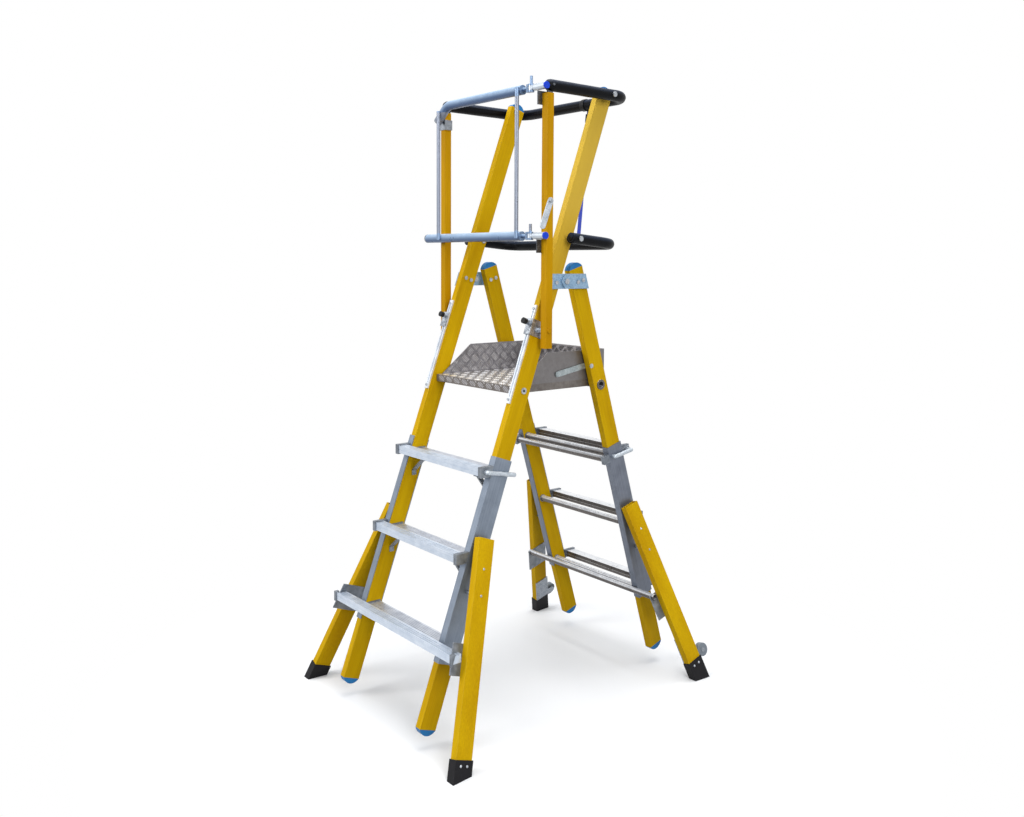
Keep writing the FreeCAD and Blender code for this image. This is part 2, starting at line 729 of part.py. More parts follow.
# ---------------------------------------------------------------- platform
deck_half = stile_inner - v.deck_side_gap
deck_front_y = hinge_y - v.deck_ahead
pivot_hole = (platform_pivot_y, platform_pivot_height, "platform_pivot_radius + pivot_play")
deck_width = "frame_width - 2 * stile_width - 2 * deck_side_gap"
deck_depth = "deck_ahead + deck_behind"
deck_block = box("deck_block", deck_width, deck_depth, "deck_skirt + deck_sheet",
                 at_point(-deck_half, deck_front_y, v.deck_top - v.deck_skirt - v.deck_sheet))
deck_under = box("deck_under", deck_width + " - 2 * deck_sheet", deck_depth + " - 2 * deck_sheet",
                 "deck_skirt", at_point(-deck_half + v.deck_sheet, deck_front_y + v.deck_sheet,
                                        v.deck_top - v.deck_skirt - v.deck_sheet))
rest_y, rest_z = rear_point(rear_along(rest_height, v.rest_tube_depth), v.rest_tube_depth)
deck_notch = box("deck_notch", "frame_width", "2 * (rest_tube_radius + saddle_wall + saddle_lip)",
                 "deck_skirt", at_point(-stile_outer, rest_y - v.rest_tube_radius - v.saddle_wall
                                        - v.saddle_lip, v.deck_top - v.deck_skirt - v.deck_sheet))
keep("platform_deck", drilled("deck", cut("deck_shell", deck_block, deck_under, deck_notch),
                              [pivot_hole]))

board_corners = [("-toe_board_ahead", "0"),
                 ("toe_board_slope - toe_board_ahead", "toe_board_height"),
                 ("deck_behind", "toe_board_height"), ("deck_behind", "0")]
stay_front_z = platform_pivot_height + v.stay_front_rise
boards = [drilled("toe_board_" + side_name,
                  plate("toe_board_blank_" + side_name, board_corners, "deck_sheet",
                        at_point(start_x(side, deck_half - v.deck_sheet, v.deck_sheet), hinge_y,
                                 v.deck_top, SIDE_VIEW)),
                  [(stay_front_y, stay_front_z, "stay_pin_radius + rivet_hole_play")])
          for side_name, side in SIDES]
boards.append(box("toe_board_rear", deck_width + " - 2 * deck_sheet", "deck_sheet",
                  "toe_board_height", at_point(-deck_half + v.deck_sheet,
                                               hinge_y + v.deck_behind - v.deck_sheet, v.deck_top)))
keep("toe_boards", group("board_set", *boards))

saddles = []
for side_name, side in SIDES:
    x = start_x(side, deck_half - v.deck_sheet - v.saddle_width, v.saddle_width)
    block = box("saddle_block_" + side_name, "saddle_width",
                "2 * (rest_tube_radius + rest_gap + saddle_wall)",
                "saddle_drop + deck_sheet",
                at_point(x, rest_y - v.rest_tube_radius - v.rest_gap - v.saddle_wall,
                         v.deck_top - 2 * v.deck_sheet - v.saddle_drop))
    bore = rod("saddle_bore_" + side_name, "rest_tube_radius + rest_gap", "frame_width",
               at_point(-stile_outer, rest_y, rest_z, ALONG_X))
    mouth = box("saddle_mouth_" + side_name, "frame_width",
                "2 * (rest_tube_radius + rest_gap) + saddle_wall", "saddle_drop",
                at_point(-stile_outer, rest_y - v.rest_tube_radius - v.rest_gap - v.saddle_wall,
                         rest_z - v.saddle_drop))
    saddles.append(cut("saddle_" + side_name, block, bore, mouth))
keep("platform_saddles", group("saddle_set", *saddles))

# the rest tube crosses the rear frame and shows as a collar on each stile
rest_tube = cut("rest_tube_body",
                rod("rest_tube_outer", "rest_tube_radius", "frame_width",
                    at_point(-stile_outer, rest_y, rest_z, ALONG_X)),
                rod("rest_tube_bore", "rest_tube_radius - rest_tube_wall", "frame_width",
                    at_point(-stile_outer, rest_y, rest_z, ALONG_X)))
collars = []
for side_name, side in SIDES:
    x = start_x(side, stile_outer, v.rest_collar)
    collars.append(cut("rest_collar_" + side_name,
                       rod("rest_collar_rim_" + side_name, "rest_tube_radius + rest_collar_rim",
                           "rest_collar", at_point(x, rest_y, rest_z, ALONG_X)),
                       rod("rest_collar_bore_" + side_name, "rest_tube_radius - rest_tube_wall",
                           "rest_collar", at_point(x, rest_y, rest_z, ALONG_X))))
keep("platform_rest_tube", group("rest_tube_set", rest_tube, *collars))

# the platform turns on a tubular pivot through each front stile
for side_name, side in SIDES:
    y, z = platform_pivot_y, platform_pivot_height
    shank = rod("pivot_shank_" + side_name, "platform_pivot_radius",
                "stile_width + deck_side_gap + 2 * deck_sheet",
                at_point(start_x(side, deck_half - 2 * v.deck_sheet,
                                 v.stile_width + v.deck_side_gap + 2 * v.deck_sheet), y, z, ALONG_X))
    head = rod("pivot_head_" + side_name, "platform_pivot_head_radius", "platform_pivot_head",
               at_point(start_x(side, stile_outer, v.platform_pivot_head), y, z, ALONG_X))
    shoulder = rod("pivot_shoulder_" + side_name, "platform_pivot_radius + tread_wall",
                   "deck_side_gap - rest_gap",
                   at_point(start_x(side, deck_half + v.rest_gap, v.deck_side_gap - v.rest_gap),
                            y, z, ALONG_X))
    bore = rod("pivot_bore_" + side_name, "platform_pivot_bore_radius", "frame_width",
               at_point(start_x(side, 0, v.frame_width), y, z, ALONG_X))
    front_bolts.append(cut("pivot_" + side_name,
                           fuse("pivot_blank_" + side_name, shank, head, shoulder), bore))

# a stay joins each toe board to the rear stile behind it
stay_y = stay_rear_y - stay_front_y
stay_z = v.stay_rear_height - stay_front_z
stay_length = math.hypot(stay_y, stay_z)
stay_tilt = math.degrees(math.atan2(stay_z, stay_y))
stays = []
for side_name, side in SIDES:
    x = start_x(side, deck_half + v.stay_gap, v.stay_sheet)
    STAY = at_point(x, stay_front_y, stay_front_z, Rotation(Vector(1, 0, 0), stay_tilt))
    bar = doc.addObject("Part::Box", "stay_bar_" + side_name)
    bind(bar, "Length", "stay_sheet")
    bar.Width = stay_length
    bind(bar, "Height", "stay_width")
    bar.Placement = STAY * at_point(0, 0, -v.stay_width / 2)
    ends = [rod("stay_end_%d_%s" % (index, side_name), "stay_width / 2", "stay_sheet",
                STAY * at_point(0, distance, 0, ALONG_X))
            for index, distance in enumerate((0, stay_length))]
    strip = fuse("stay_strip_" + side_name, bar, *ends)
    strip = drilled("stay_" + side_name, strip,
                    [(stay_rear_y, v.stay_rear_height, "stay_pin_radius + pivot_play")])
    rivet = rod("stay_rivet_" + side_name, "stay_pin_radius * 2", "stay_rivet_head",
                at_point(start_x(side, deck_half + v.stay_gap + v.stay_sheet, v.stay_rivet_head),
                         stay_front_y, stay_front_z, ALONG_X))
    stays.append(fuse("stay_whole_" + side_name, strip, rivet))
    rear_bolts.append(headed_bolt("stay_bolt_" + side_name, side, deck_half + v.stay_gap,
                                  "stay_pin_radius", "stile_width + deck_side_gap - stay_gap",
                                  v.stile_width + v.deck_side_gap - v.stay_gap,
                                  "stay_pin_radius * 2", "rivet_head", stay_rear_y,
                                  v.stay_rear_height, nut=False))
keep("platform_stays", group("stay_set", *stays))


# ---------------------------------------------------------------- telescopic outer frames
flange = v.channel_play + v.channel_wall
channel_outer = stile_outer + flange
leg_top_x = channel_outer + v.stile_width / 2 / leg_cos


def channel(name, frame, side, foot, top, pin_hole):
    """An aluminium channel that slides on a stile, open towards the middle of the ladder."""
    x = start_x(side, stile_inner + v.channel_lip_gap,
                v.stile_width + flange - v.channel_lip_gap)
    outer = box(name + "_outer", "stile_width + channel_play + channel_wall - channel_lip_gap",
                "stile_depth + 2 * channel_play + 2 * channel_wall", top + " - " + foot,
                in_frame(frame, x, -flange, number(foot)))
    shift = -v.stile_width if side > 0 else v.channel_wall
    inner = box(name + "_inner", "2 * stile_width + channel_play - channel_lip_gap",
                "stile_depth + 2 * channel_play", top + " - " + foot,
                in_frame(frame, x + shift, -v.channel_play, number(foot)))
    hole = rod(name + "_lock_hole", "lock_bar_radius + rivet_hole_play", "channel_wall * 4",
               at_point(start_x(side, stile_outer - v.channel_wall, v.channel_wall * 4),
                        pin_hole[0], pin_hole[1], ALONG_X))
    return cut(name, outer, inner, hole)


def leg_frame(frame, side, top):
    """A flared leg's own frame: Z runs up the leg, from the point where it leaves the channel."""
    return frame * Placement(Vector(side * leg_top_x, 0, top),
                             Rotation(Vector(0, 1, 0), -side * v.leg_flare))


def leg_length(frame_cos, top):
    """Length of a leg from its top to leg_foot_rise above the floor, measured along the leg."""
    return top / leg_cos - v.leg_foot_rise


def leg(name, place, length):
    outer = doc.addObject("Part::Box", name + "_outer")
    bind(outer, "Length", "stile_width")
    bind(outer, "Width", "stile_depth")
    outer.Height = length
    outer.Placement = place * at_point(-v.stile_width / 2, 0, -length)
    hollow = doc.addObject("Part::Box", name + "_hollow")
    bind(hollow, "Length", "stile_width - 2 * stile_wall")
    bind(hollow, "Width", "stile_depth - 2 * stile_wall")
    hollow.Height = length
    hollow.Placement = place * at_point(v.stile_wall - v.stile_width / 2, v.stile_wall, -length)
    return outer, hollow


def floor_block(name):
    """Everything below the floor, to trim the feet level."""
    return box(name, "frame_width * 4", "frame_width * 4", "stile_depth * 4",
               at_point(-2 * v.frame_width, -2 * v.frame_width, -4 * v.stile_depth))


def boot(name, place, length):
    """A rubber foot around the leg's end with a level sole; its rim is square to the leg."""
    wall = v.boot_wall + v.boot_play
    height = v.boot_height + v.stile_depth
    shell = box(name + "_shell", "stile_width + 2 * boot_wall + 2 * boot_play",
                "stile_depth + 2 * boot_wall + 2 * boot_play", "boot_height + stile_depth",
                place * at_point(-v.stile_width / 2 - wall, -wall,
                                 -length + v.boot_grip - height))
    hollow = box(name + "_hollow", "stile_width + 2 * boot_play", "stile_depth + 2 * boot_play",
                 "boot_height", place * at_point(-v.stile_width / 2 - v.boot_play, -v.boot_play,
                                                 -length))
    return cut(name, shell, hollow, floor_block(name + "_floor"))


def behind(name, frame, depth, along):
    """Everything behind a plane parallel to the stiles' faces, around one level."""
    return box(name, "frame_width * 3", "stile_depth * 5", "stile_depth * 6",
               in_frame(frame, -1.5 * v.frame_width, depth, along - 3 * v.stile_depth))


def rivet(name, place):
    """A domed rivet standing on a face; its placement's Z axis points out of the face."""
    head = ball(name + "_ball", "rivet_head_radius", place * at_point(0, 0, v.rivet_head
                                                                     - v.rivet_head_radius))
    face = rod(name + "_disc", "rivet_head_radius", "rivet_head", place)
    return common(name + "_head", head, face)


def outer_rung(name, half_length, y, top):
    """A box rung lying in front of the channels; y is its front face."""
    outer = box(name + "_outer", "2 * " + half_length, "outer_rung_depth", "outer_rung_height",
                at_point(-number(half_length), y, top - v.outer_rung_height))
    hollow = box(name + "_hollow", "2 * " + half_length, "outer_rung_depth - 2 * tread_wall",
                 "outer_rung_height - 2 * tread_wall",
                 at_point(-number(half_length), y + v.tread_wall,
                          top - v.outer_rung_height + v.tread_wall))
    return cut(name, outer, hollow)


def rung_socket(name, side, inner, outer, y, top, extra):
    """The end casting that holds an outer rung against its channel or leg."""
    rim = v.socket_rim
    span = "%s - (%s)" % (outer, inner)
    block = box(name + "_block", span, "outer_rung_depth + socket_rim + stile_depth",
                "outer_rung_height + 2 * socket_rim",
                at_point(start_x(side, number(inner), number(span)), y - rim,
                         top - v.outer_rung_height - rim))
    return cut(name, block, *extra)


# front outer frame: two rungs and a wide base step in front of the channels
front_rung_y = [front_at(top - v.outer_rung_height - v.socket_rim, -flange) - v.outer_rung_gap
                - v.outer_rung_depth for top in STEPS]
lock_y = front_rung_y[2] + v.outer_rung_depth / 2
lock_z = STEPS[2] - v.outer_rung_height / 2
LOCK = at_point(0, lock_y, lock_z, Rotation(Vector(1, 0, 0), -v.front_lock_tilt))
front_pin = LOCK.multVec(Vector(0, v.front_lock_pin, 0))
keep("front_channels", group("front_channel_set", *[
    channel("front_channel_" + side_name, FRONT, side, "front_channel_foot", "front_channel_top",
            (front_pin.y, front_pin.z)) for side_name, side in SIDES]))

front_legs, front_boots = [], []
front_leg_length = leg_length(front_cos, v.front_leg_top)
for side_name, side in SIDES:
    place = leg_frame(FRONT, side, v.front_leg_top)
    front_legs.append(cut("front_leg_" + side_name, *leg("front_leg_" + side_name, place,
                                                         front_leg_length)))
    front_boots.append(boot("front_boot_" + side_name, place, front_leg_length))
keep("front_legs", group("front_leg_set", *front_legs))
keep("front_feet", group("front_boot_set", *front_boots))

rungs, fittings = [], []
for level in (1, 2):
    y, top = front_rung_y[level], STEPS[level]
    rungs.append(outer_rung("front_outer_rung_%d" % level, "outer_rung_half", y, top))
    for side_name, side in SIDES:
        tag = "_%d_%s" % (level, side_name)
        pocket = box("rung_pocket" + tag, "2 * outer_rung_half", "outer_rung_depth",
                     "outer_rung_height", at_point(-v.outer_rung_half, y, top - v.outer_rung_height))
        extra = [pocket, behind("rung_back" + tag, FRONT, -flange, front_along(top, 0))]
        if level == 2:
            extra.append(rod("lock_guide" + tag, "lock_bar_radius + rivet_hole_play",
                             "frame_width * 2", at_point(-v.frame_width, lock_y, lock_z, ALONG_X)))
        fittings.append(rung_socket("rung_socket" + tag, side, "outer_rung_half - socket_grip",
                                    "frame_width / 2 + channel_play + channel_wall", y, top, extra))
keep("front_outer_rungs", group("front_rung_set", *rungs))

step_top = STEPS[0]
step_y = front_rung_y[0]
keep("front_base_step", outer_rung("front_base_step_body", "base_step_half", step_y, step_top))


for side_name, side in SIDES:
    place = leg_frame(FRONT, side, v.front_leg_top)
    drop = (v.front_leg_top - front_along(step_top, 0)) / leg_cos
    cheek_x = -v.stile_width / 2 - v.bracket_sheet if side > 0 else v.stile_width / 2
    pocket = box("step_pocket_" + side_name, "2 * base_step_half", "outer_rung_depth",
                 "outer_rung_height", at_point(-v.base_step_half, step_y,
                                               step_top - v.outer_rung_height))
    cheek = box("step_cheek_" + side_name, "bracket_sheet",
                "stile_depth + outer_rung_depth + outer_rung_gap + channel_wall", "bracket_height",
                place * at_point(cheek_x, -v.outer_rung_depth - v.outer_rung_gap - v.channel_wall,
                                 -drop - v.bracket_drop - v.bracket_height / 2))
    fittings.append(cut("step_bracket_" + side_name, cheek, pocket))
    beyond = box("step_cheek_room_" + side_name, "bracket_sheet + stile_width",
                 "stile_depth + outer_rung_depth + outer_rung_gap + channel_wall", "bracket_height * 2",
                 place * at_point(-v.stile_width / 2 - v.bracket_sheet if side > 0
                                  else -v.stile_width / 2,
                                  -v.outer_rung_depth - v.outer_rung_gap - v.channel_wall,
                                  -drop - v.bracket_height))
    clear = [beyond, box("step_pocket_end_" + side_name, "2 * base_step_half", "outer_rung_depth",
                 "outer_rung_height", at_point(-v.base_step_half, step_y,
                                               step_top - v.outer_rung_height)),
             behind("step_back_" + side_name, FRONT, 0, front_along(step_top, 0))]
    fittings.append(rung_socket("step_socket_" + side_name, side, "base_step_half - socket_grip",
                                "base_step_half + bracket_sheet", step_y, step_top, clear))
keep("front_outer_fittings", group("front_fitting_set", *fittings))

# rear outer frame: round rungs in front of the channels
rear_lock_z = STEPS[2] - v.rear_lock_drop
rear_lock_y = rear_at(rear_lock_z, v.rear_lock_inset)
REAR_LOCK = at_point(0, rear_lock_y, rear_lock_z, Rotation(Vector(1, 0, 0), v.rear_lock_tilt))
keep("rear_channels", group("rear_channel_set", *[
    channel("rear_channel_" + side_name, REAR, side, "rear_channel_foot", "rear_channel_top",
            (rear_lock_y, rear_lock_z)) for side_name, side in SIDES]))

rear_legs, rear_boots = [], []
rear_leg_length = leg_length(rear_cos, v.rear_leg_top)
for side_name, side in SIDES:
    place = leg_frame(REAR, side, v.rear_leg_top)
    rear_legs.append(cut("rear_leg_" + side_name, *leg("rear_leg_" + side_name, place,
                                                       rear_leg_length)))
    rear_boots.append(boot("rear_boot_" + side_name, place, rear_leg_length))
keep("rear_legs", group("rear_leg_set", *rear_legs))
keep("rear_feet", group("rear_boot_set", *rear_boots))


def round_rung(name, half_length, y, z):
    outer = rod(name + "_outer", "rear_rung_radius", "2 * " + half_length,
                at_point(-number(half_length), y, z, ALONG_X))
    bore = rod(name + "_bore", "rear_rung_radius - rear_rung_wall", "2 * " + half_length,
               at_point(-number(half_length), y, z, ALONG_X))
    return cut(name, outer, bore)


rear_rung_depth = -flange - v.outer_rung_gap - v.rear_rung_radius
top_rung_z = STEPS[2] - v.rear_rung_drop - v.rear_rung_radius
base_rung_z = v.rear_base_rung_height
top_rung_y = rear_at(top_rung_z, rear_rung_depth)
base_rung_y = rear_at(base_rung_z, rear_rung_depth)
keep("rear_outer_rungs", group("rear_rung_set",
                               round_rung("rear_top_rung", "outer_rung_half", top_rung_y, top_rung_z),
                               round_rung("rear_base_rung", "rear_base_half", base_rung_y,
                                          base_rung_z)))
fittings = []
for side_name, side in SIDES:
    block = box("rear_socket_block_" + side_name,
                "frame_width / 2 + channel_play + channel_wall - outer_rung_half + socket_grip",
                "2 * rear_rung_radius + outer_rung_gap + socket_rim",
                "2 * rear_rung_radius + 2 * socket_rim",
                in_frame(REAR, start_x(side, v.outer_rung_half - v.socket_grip,
                                       channel_outer - v.outer_rung_half + v.socket_grip),
                         rear_rung_depth - v.rear_rung_radius - v.socket_rim,
                         rear_along(top_rung_z, rear_rung_depth) - v.rear_rung_radius
                         - v.socket_rim))
    pocket = rod("rear_socket_pocket_" + side_name, "rear_rung_radius", "2 * outer_rung_half",
                 at_point(-v.outer_rung_half, top_rung_y, top_rung_z, ALONG_X))
    fittings.append(cut("rear_socket_casting_" + side_name, block, pocket))
    # the lock's rear eye stands behind the channel
    eye_y, eye_z = REAR_LOCK.multVec(Vector(0, v.rear_lock_length, 0))[1:]
    reach = (eye_y - rear_at(eye_z, v.stile_depth + flange)) * rear_cos
    eye = doc.addObject("Part::Box", "lock_eye_block_" + side_name)
    bind(eye, "Length", "lock_eye_width")
    eye.Width = reach + v.lock_boss_radius
    bind(eye, "Height", "2 * lock_boss_radius")
    eye.Placement = in_frame(REAR, start_x(side, channel_outer - v.lock_eye_inset - v.lock_eye_width,
                                           v.lock_eye_width), v.stile_depth + flange,
                             rear_along(eye_z, v.stile_depth + flange + reach)
                             - v.lock_boss_radius)
    fittings.append(cut("lock_eye_" + side_name, eye,
                        rod("lock_eye_bore_" + side_name, "lock_bar_radius + rivet_hole_play",
                            "frame_width * 2", at_point(-v.frame_width, eye_y, eye_z, ALONG_X))))
    # the base rung runs into a cheek on the leg's inner face
    place = leg_frame(REAR, side, v.rear_leg_top)
    drop = (v.rear_leg_top - rear_along(base_rung_z, 0)) / leg_cos
    cheek_x = -v.stile_width / 2 - v.bracket_sheet if side > 0 else v.stile_width / 2
    cheek = box("rear_cheek_" + side_name, "bracket_sheet",
                "stile_depth + 2 * rear_rung_radius + outer_rung_gap + channel_wall + socket_rim",
                "bracket_height",
                place * at_point(cheek_x, rear_rung_depth - v.rear_rung_radius - v.socket_rim,
                                 -drop - v.bracket_height * 0.8))
    fittings.append(cut("rear_bracket_" + side_name, cheek,
                        rod("rear_cheek_hole_" + side_name, "rear_rung_radius", "2 * rear_base_half",
                            at_point(-v.rear_base_half, base_rung_y, base_rung_z, ALONG_X))))

# flat treads lie behind the channels, each in an end casting on the channel's rear face
channel_back = v.stile_depth + flange
back_treads = []
for level, step in enumerate(STEPS):
    top = step - v.rear_tread_drop
    low = top - v.rear_tread_height
    y = rear_at(low - v.socket_rim, channel_back) + v.outer_rung_gap
    outer = box("back_tread_outer_%d" % level, "2 * rear_tread_half", "rear_tread_depth",
                "rear_tread_height", at_point(-v.rear_tread_half, y, low))
    hollow = box("back_tread_hollow_%d" % level, "2 * rear_tread_half",
                 "rear_tread_depth - 2 * tread_wall", "rear_tread_height - 2 * tread_wall",
                 at_point(-v.rear_tread_half, y + v.tread_wall, low + v.tread_wall))
    back_treads.append(cut("back_tread_%d" % level, outer, hollow))
    for side_name, side in SIDES:
        tag = "_%d_%s" % (level, side_name)
        block = box("back_casting_block" + tag, "socket_grip + socket_rim",
                    "stile_depth + rear_tread_depth + socket_rim",
                    "rear_tread_height + 2 * socket_rim",
                    at_point(start_x(side, v.rear_tread_half - v.socket_grip,
                                     v.socket_grip + v.socket_rim),
                             y - v.stile_depth, low - v.socket_rim))
        pocket = box("back_casting_pocket" + tag, "2 * rear_tread_half", "rear_tread_depth",
                     "rear_tread_height", at_point(-v.rear_tread_half, y, low))
        room = behind("back_casting_room" + tag, REAR, channel_back - 5 * v.stile_depth,
                      rear_along(low, channel_back))
        fittings.append(cut("back_casting" + tag, block, pocket, room))
keep("rear_outer_treads", group("back_tread_set", *back_treads))
keep("rear_outer_fittings", group("rear_fitting_set", *fittings))


# spacer bolts join each leg to its channel, and rivets hold the boots
def leg_fixings(tag, frame, side, top, length):
    place = leg_frame(frame, side, top)
    outward = Rotation(Vector(0, 1, 0), 90 * side)
    pieces = []
    for index, drop in enumerate((v.leg_bolt_first, v.leg_bolt_first + v.leg_bolt_pitch)):
        start = place * at_point(side * v.stile_width / 2, v.stile_depth / 2, -drop)
        head = rivet("leg_bolt_%s_%d" % (tag, index),
                     start * Placement(Vector(), outward))
        # the sleeve bridges the gap between the channel and the leaning leg
        point = frame.inverse().multVec(place.multVec(Vector(-side * v.stile_width / 2,
                                                             v.stile_depth / 2, -drop)))
        gap = abs(point.x) - channel_outer + v.stile_wall
        sleeve = doc.addObject("Part::Cylinder", "leg_sleeve_%s_%d" % (tag, index))
        bind(sleeve, "Radius", "leg_sleeve_radius")
        sleeve.Height = gap
        sleeve.Placement = in_frame(frame, start_x(side, channel_outer, gap), point.y, point.z,
                                    ALONG_X)
        slab = box("leg_sleeve_trim_%s_%d" % (tag, index), "stile_width", "stile_depth * 2",
                   "stile_depth * 2", place * at_point(-v.stile_width / 2, -v.stile_depth / 2,
                                                       -drop - v.stile_depth))
        pieces += [head, cut("leg_spacer_%s_%d" % (tag, index), sleeve, slab)]
    for index, depth in enumerate(bolt_depths):
        wall = v.stile_width / 2 + v.boot_wall + v.boot_play
        start = place * at_point(side * wall, depth, -length + v.boot_grip / 2)
        pieces.append(rivet("boot_rivet_%s_%d" % (tag, index), start * Placement(Vector(), outward)))
    return pieces


front_fixings, rear_fixings = [], []
for side_name, side in SIDES:
    front_fixings += leg_fixings("front_" + side_name, FRONT, side, v.front_leg_top, front_leg_length)
    rear_fixings += leg_fixings("rear_" + side_name, REAR, side, v.rear_leg_top, rear_leg_length)
keep("front_outer_bolts", group("front_outer_bolt_set", *front_fixings))
keep("rear_outer_bolts", group("rear_outer_bolt_set", *rear_fixings))


# ---------------------------------------------------------------- rung locks
def rung_lock(label, side, place, length, pin_at, return_at):
    """A bent bar: a pin through the channel, a run along its outer face and a guide leg."""
    inner = channel_outer + v.lock_gap + v.lock_bar_radius
    centre = place * at_point(side * inner, 0, 0)
    run = rod(label + "_run", "lock_bar_radius", length,
              centre * at_point(0, 0, 0, ALONG_Y))
    ends = [ball("%s_end_%d" % (label, index), "lock_bar_radius", centre * at_point(0, at, 0))
            for index, at in enumerate((0, number(length)))]
    inward = Rotation(Vector(0, 1, 0), -90 * side)
    pin = doc.addObject("Part::Cylinder", label + "_pin")
    bind(pin, "Radius", "lock_bar_radius")
    pin.Height = inner - stile_outer - v.lock_tip_gap
    pin.Placement = centre * at_point(0, pin_at, 0, inward)
    guide = doc.addObject("Part::Cylinder", label + "_guide")
    bind(guide, "Radius", "lock_bar_radius")
    bind(guide, "Height", "lock_guide_length")
    guide.Placement = centre * at_point(0, return_at, 0, inward)
    keep(label, fuse(label + "_body", run, pin, guide, *ends))


for side_name, side in SIDES:
    rung_lock("front_lock_" + side_name, side, LOCK, "front_lock_length", v.front_lock_pin, 0)
    rung_lock("rear_lock_" + side_name, side, REAR_LOCK, "rear_lock_length", 0, v.rear_lock_length)


# ---------------------------------------------------------------- transport wheels
wheel_along = -v.rear_leg_top / leg_cos + v.wheel_height
mounts, wheel_place = [], {}
for side_name, side in SIDES:
    place = leg_frame(REAR, side, v.rear_leg_top)
    inner = -v.stile_width / 2 - v.mount_sheet if side > 0 else v.stile_width / 2
    plate_box = box("mount_plate_" + side_name, "mount_sheet",
                    "stile_depth + wheel_gap + wheel_radius", "mount_height",
                    place * at_point(inner, 0, wheel_along - v.mount_arm / 2))
    trim = box("mount_trim_" + side_name, "mount_sheet * 3", "wheel_gap + wheel_radius",
               "mount_height", place * at_point(inner - v.mount_sheet, v.stile_depth + v.mount_sheet,
                                                wheel_along + v.mount_arm / 2))
    boot_wide = v.boot_wall + v.boot_play + v.rest_gap
    boot_room = box("mount_boot_room_" + side_name, "mount_sheet * 3",
                    "stile_depth + 2 * (boot_wall + boot_play + rest_gap)",
                    "boot_grip + rest_gap",
                    place * at_point(inner - v.mount_sheet, -boot_wide, -rear_leg_length))
    eye = rod("mount_eye_" + side_name, "mount_arm / 2", "mount_sheet",
              place * at_point(inner, wheel_depth, wheel_along, ALONG_X))
    axle = rod("wheel_axle_" + side_name, "wheel_bore - wheel_play",
               "wheel_width / 2 + stile_width / 2 + wheel_play",
               place * at_point(-v.stile_width / 2 if side > 0
                                else v.stile_width / 2 - v.wheel_width / 2 - v.stile_width / 2
                                - v.wheel_play, wheel_depth, wheel_along, ALONG_X))
    head = rod("wheel_axle_head_" + side_name, "wheel_bore + rivet_head", "rivet_head",
               place * at_point(v.wheel_width / 2 + v.wheel_play if side > 0
                                else -v.wheel_width / 2 - v.wheel_play - v.rivet_head, wheel_depth,
                                wheel_along, ALONG_X))
    cheek = cut("mount_cheek_" + side_name, plate_box, trim, boot_room)
    mounts.append(fuse("mount_" + side_name, cheek, eye, axle, head))
    tread_body = rod("wheel_tread_" + side_name, "wheel_radius", "wheel_width",
                     place * at_point(-v.wheel_width / 2, wheel_depth, wheel_along, ALONG_X))
    bore = rod("wheel_bore_" + side_name, "wheel_bore", "wheel_width",
               place * at_point(-v.wheel_width / 2, wheel_depth, wheel_along, ALONG_X))
    keep("wheel_" + side_name, cut("wheel_body_" + side_name, tread_body, bore))
keep("wheel_mounts", group("mount_set", *mounts))


# ---------------------------------------------------------------- guide tracks, sliders, plungers
track_length = "track_top - track_foot"
track_middle = stile_outer - v.stile_width / 2
tracks = []
for side_name, side in SIDES:
    x = start_x(side, track_middle - v.track_width / 2, v.track_width)
    body = box("track_body_" + side_name, "track_width", "track_depth", track_length,
               in_frame(FRONT, x, -v.track_depth, v.track_foot))
    slot = box("track_slot_" + side_name, "track_slot", "track_slot_depth",
               track_length + " - 2 * track_slot_end",
               in_frame(FRONT, side * track_middle - v.track_slot / 2, -v.track_depth,
                        v.track_foot + v.track_slot_end))
    tracks.append(cut("track_" + side_name, body, slot))
    for index, along in enumerate((v.track_foot + v.track_bolt_inset,
                                   v.track_top - v.track_bolt_inset)):
        front_bolts.append(rod("track_bolt_%d_%s" % (index, side_name), "track_bolt_radius",
                               "track_bolt_head",
                               in_frame(FRONT, side * track_middle, -v.track_depth, along, FORWARD)))
keep("guide_tracks", group("track_set", *tracks))

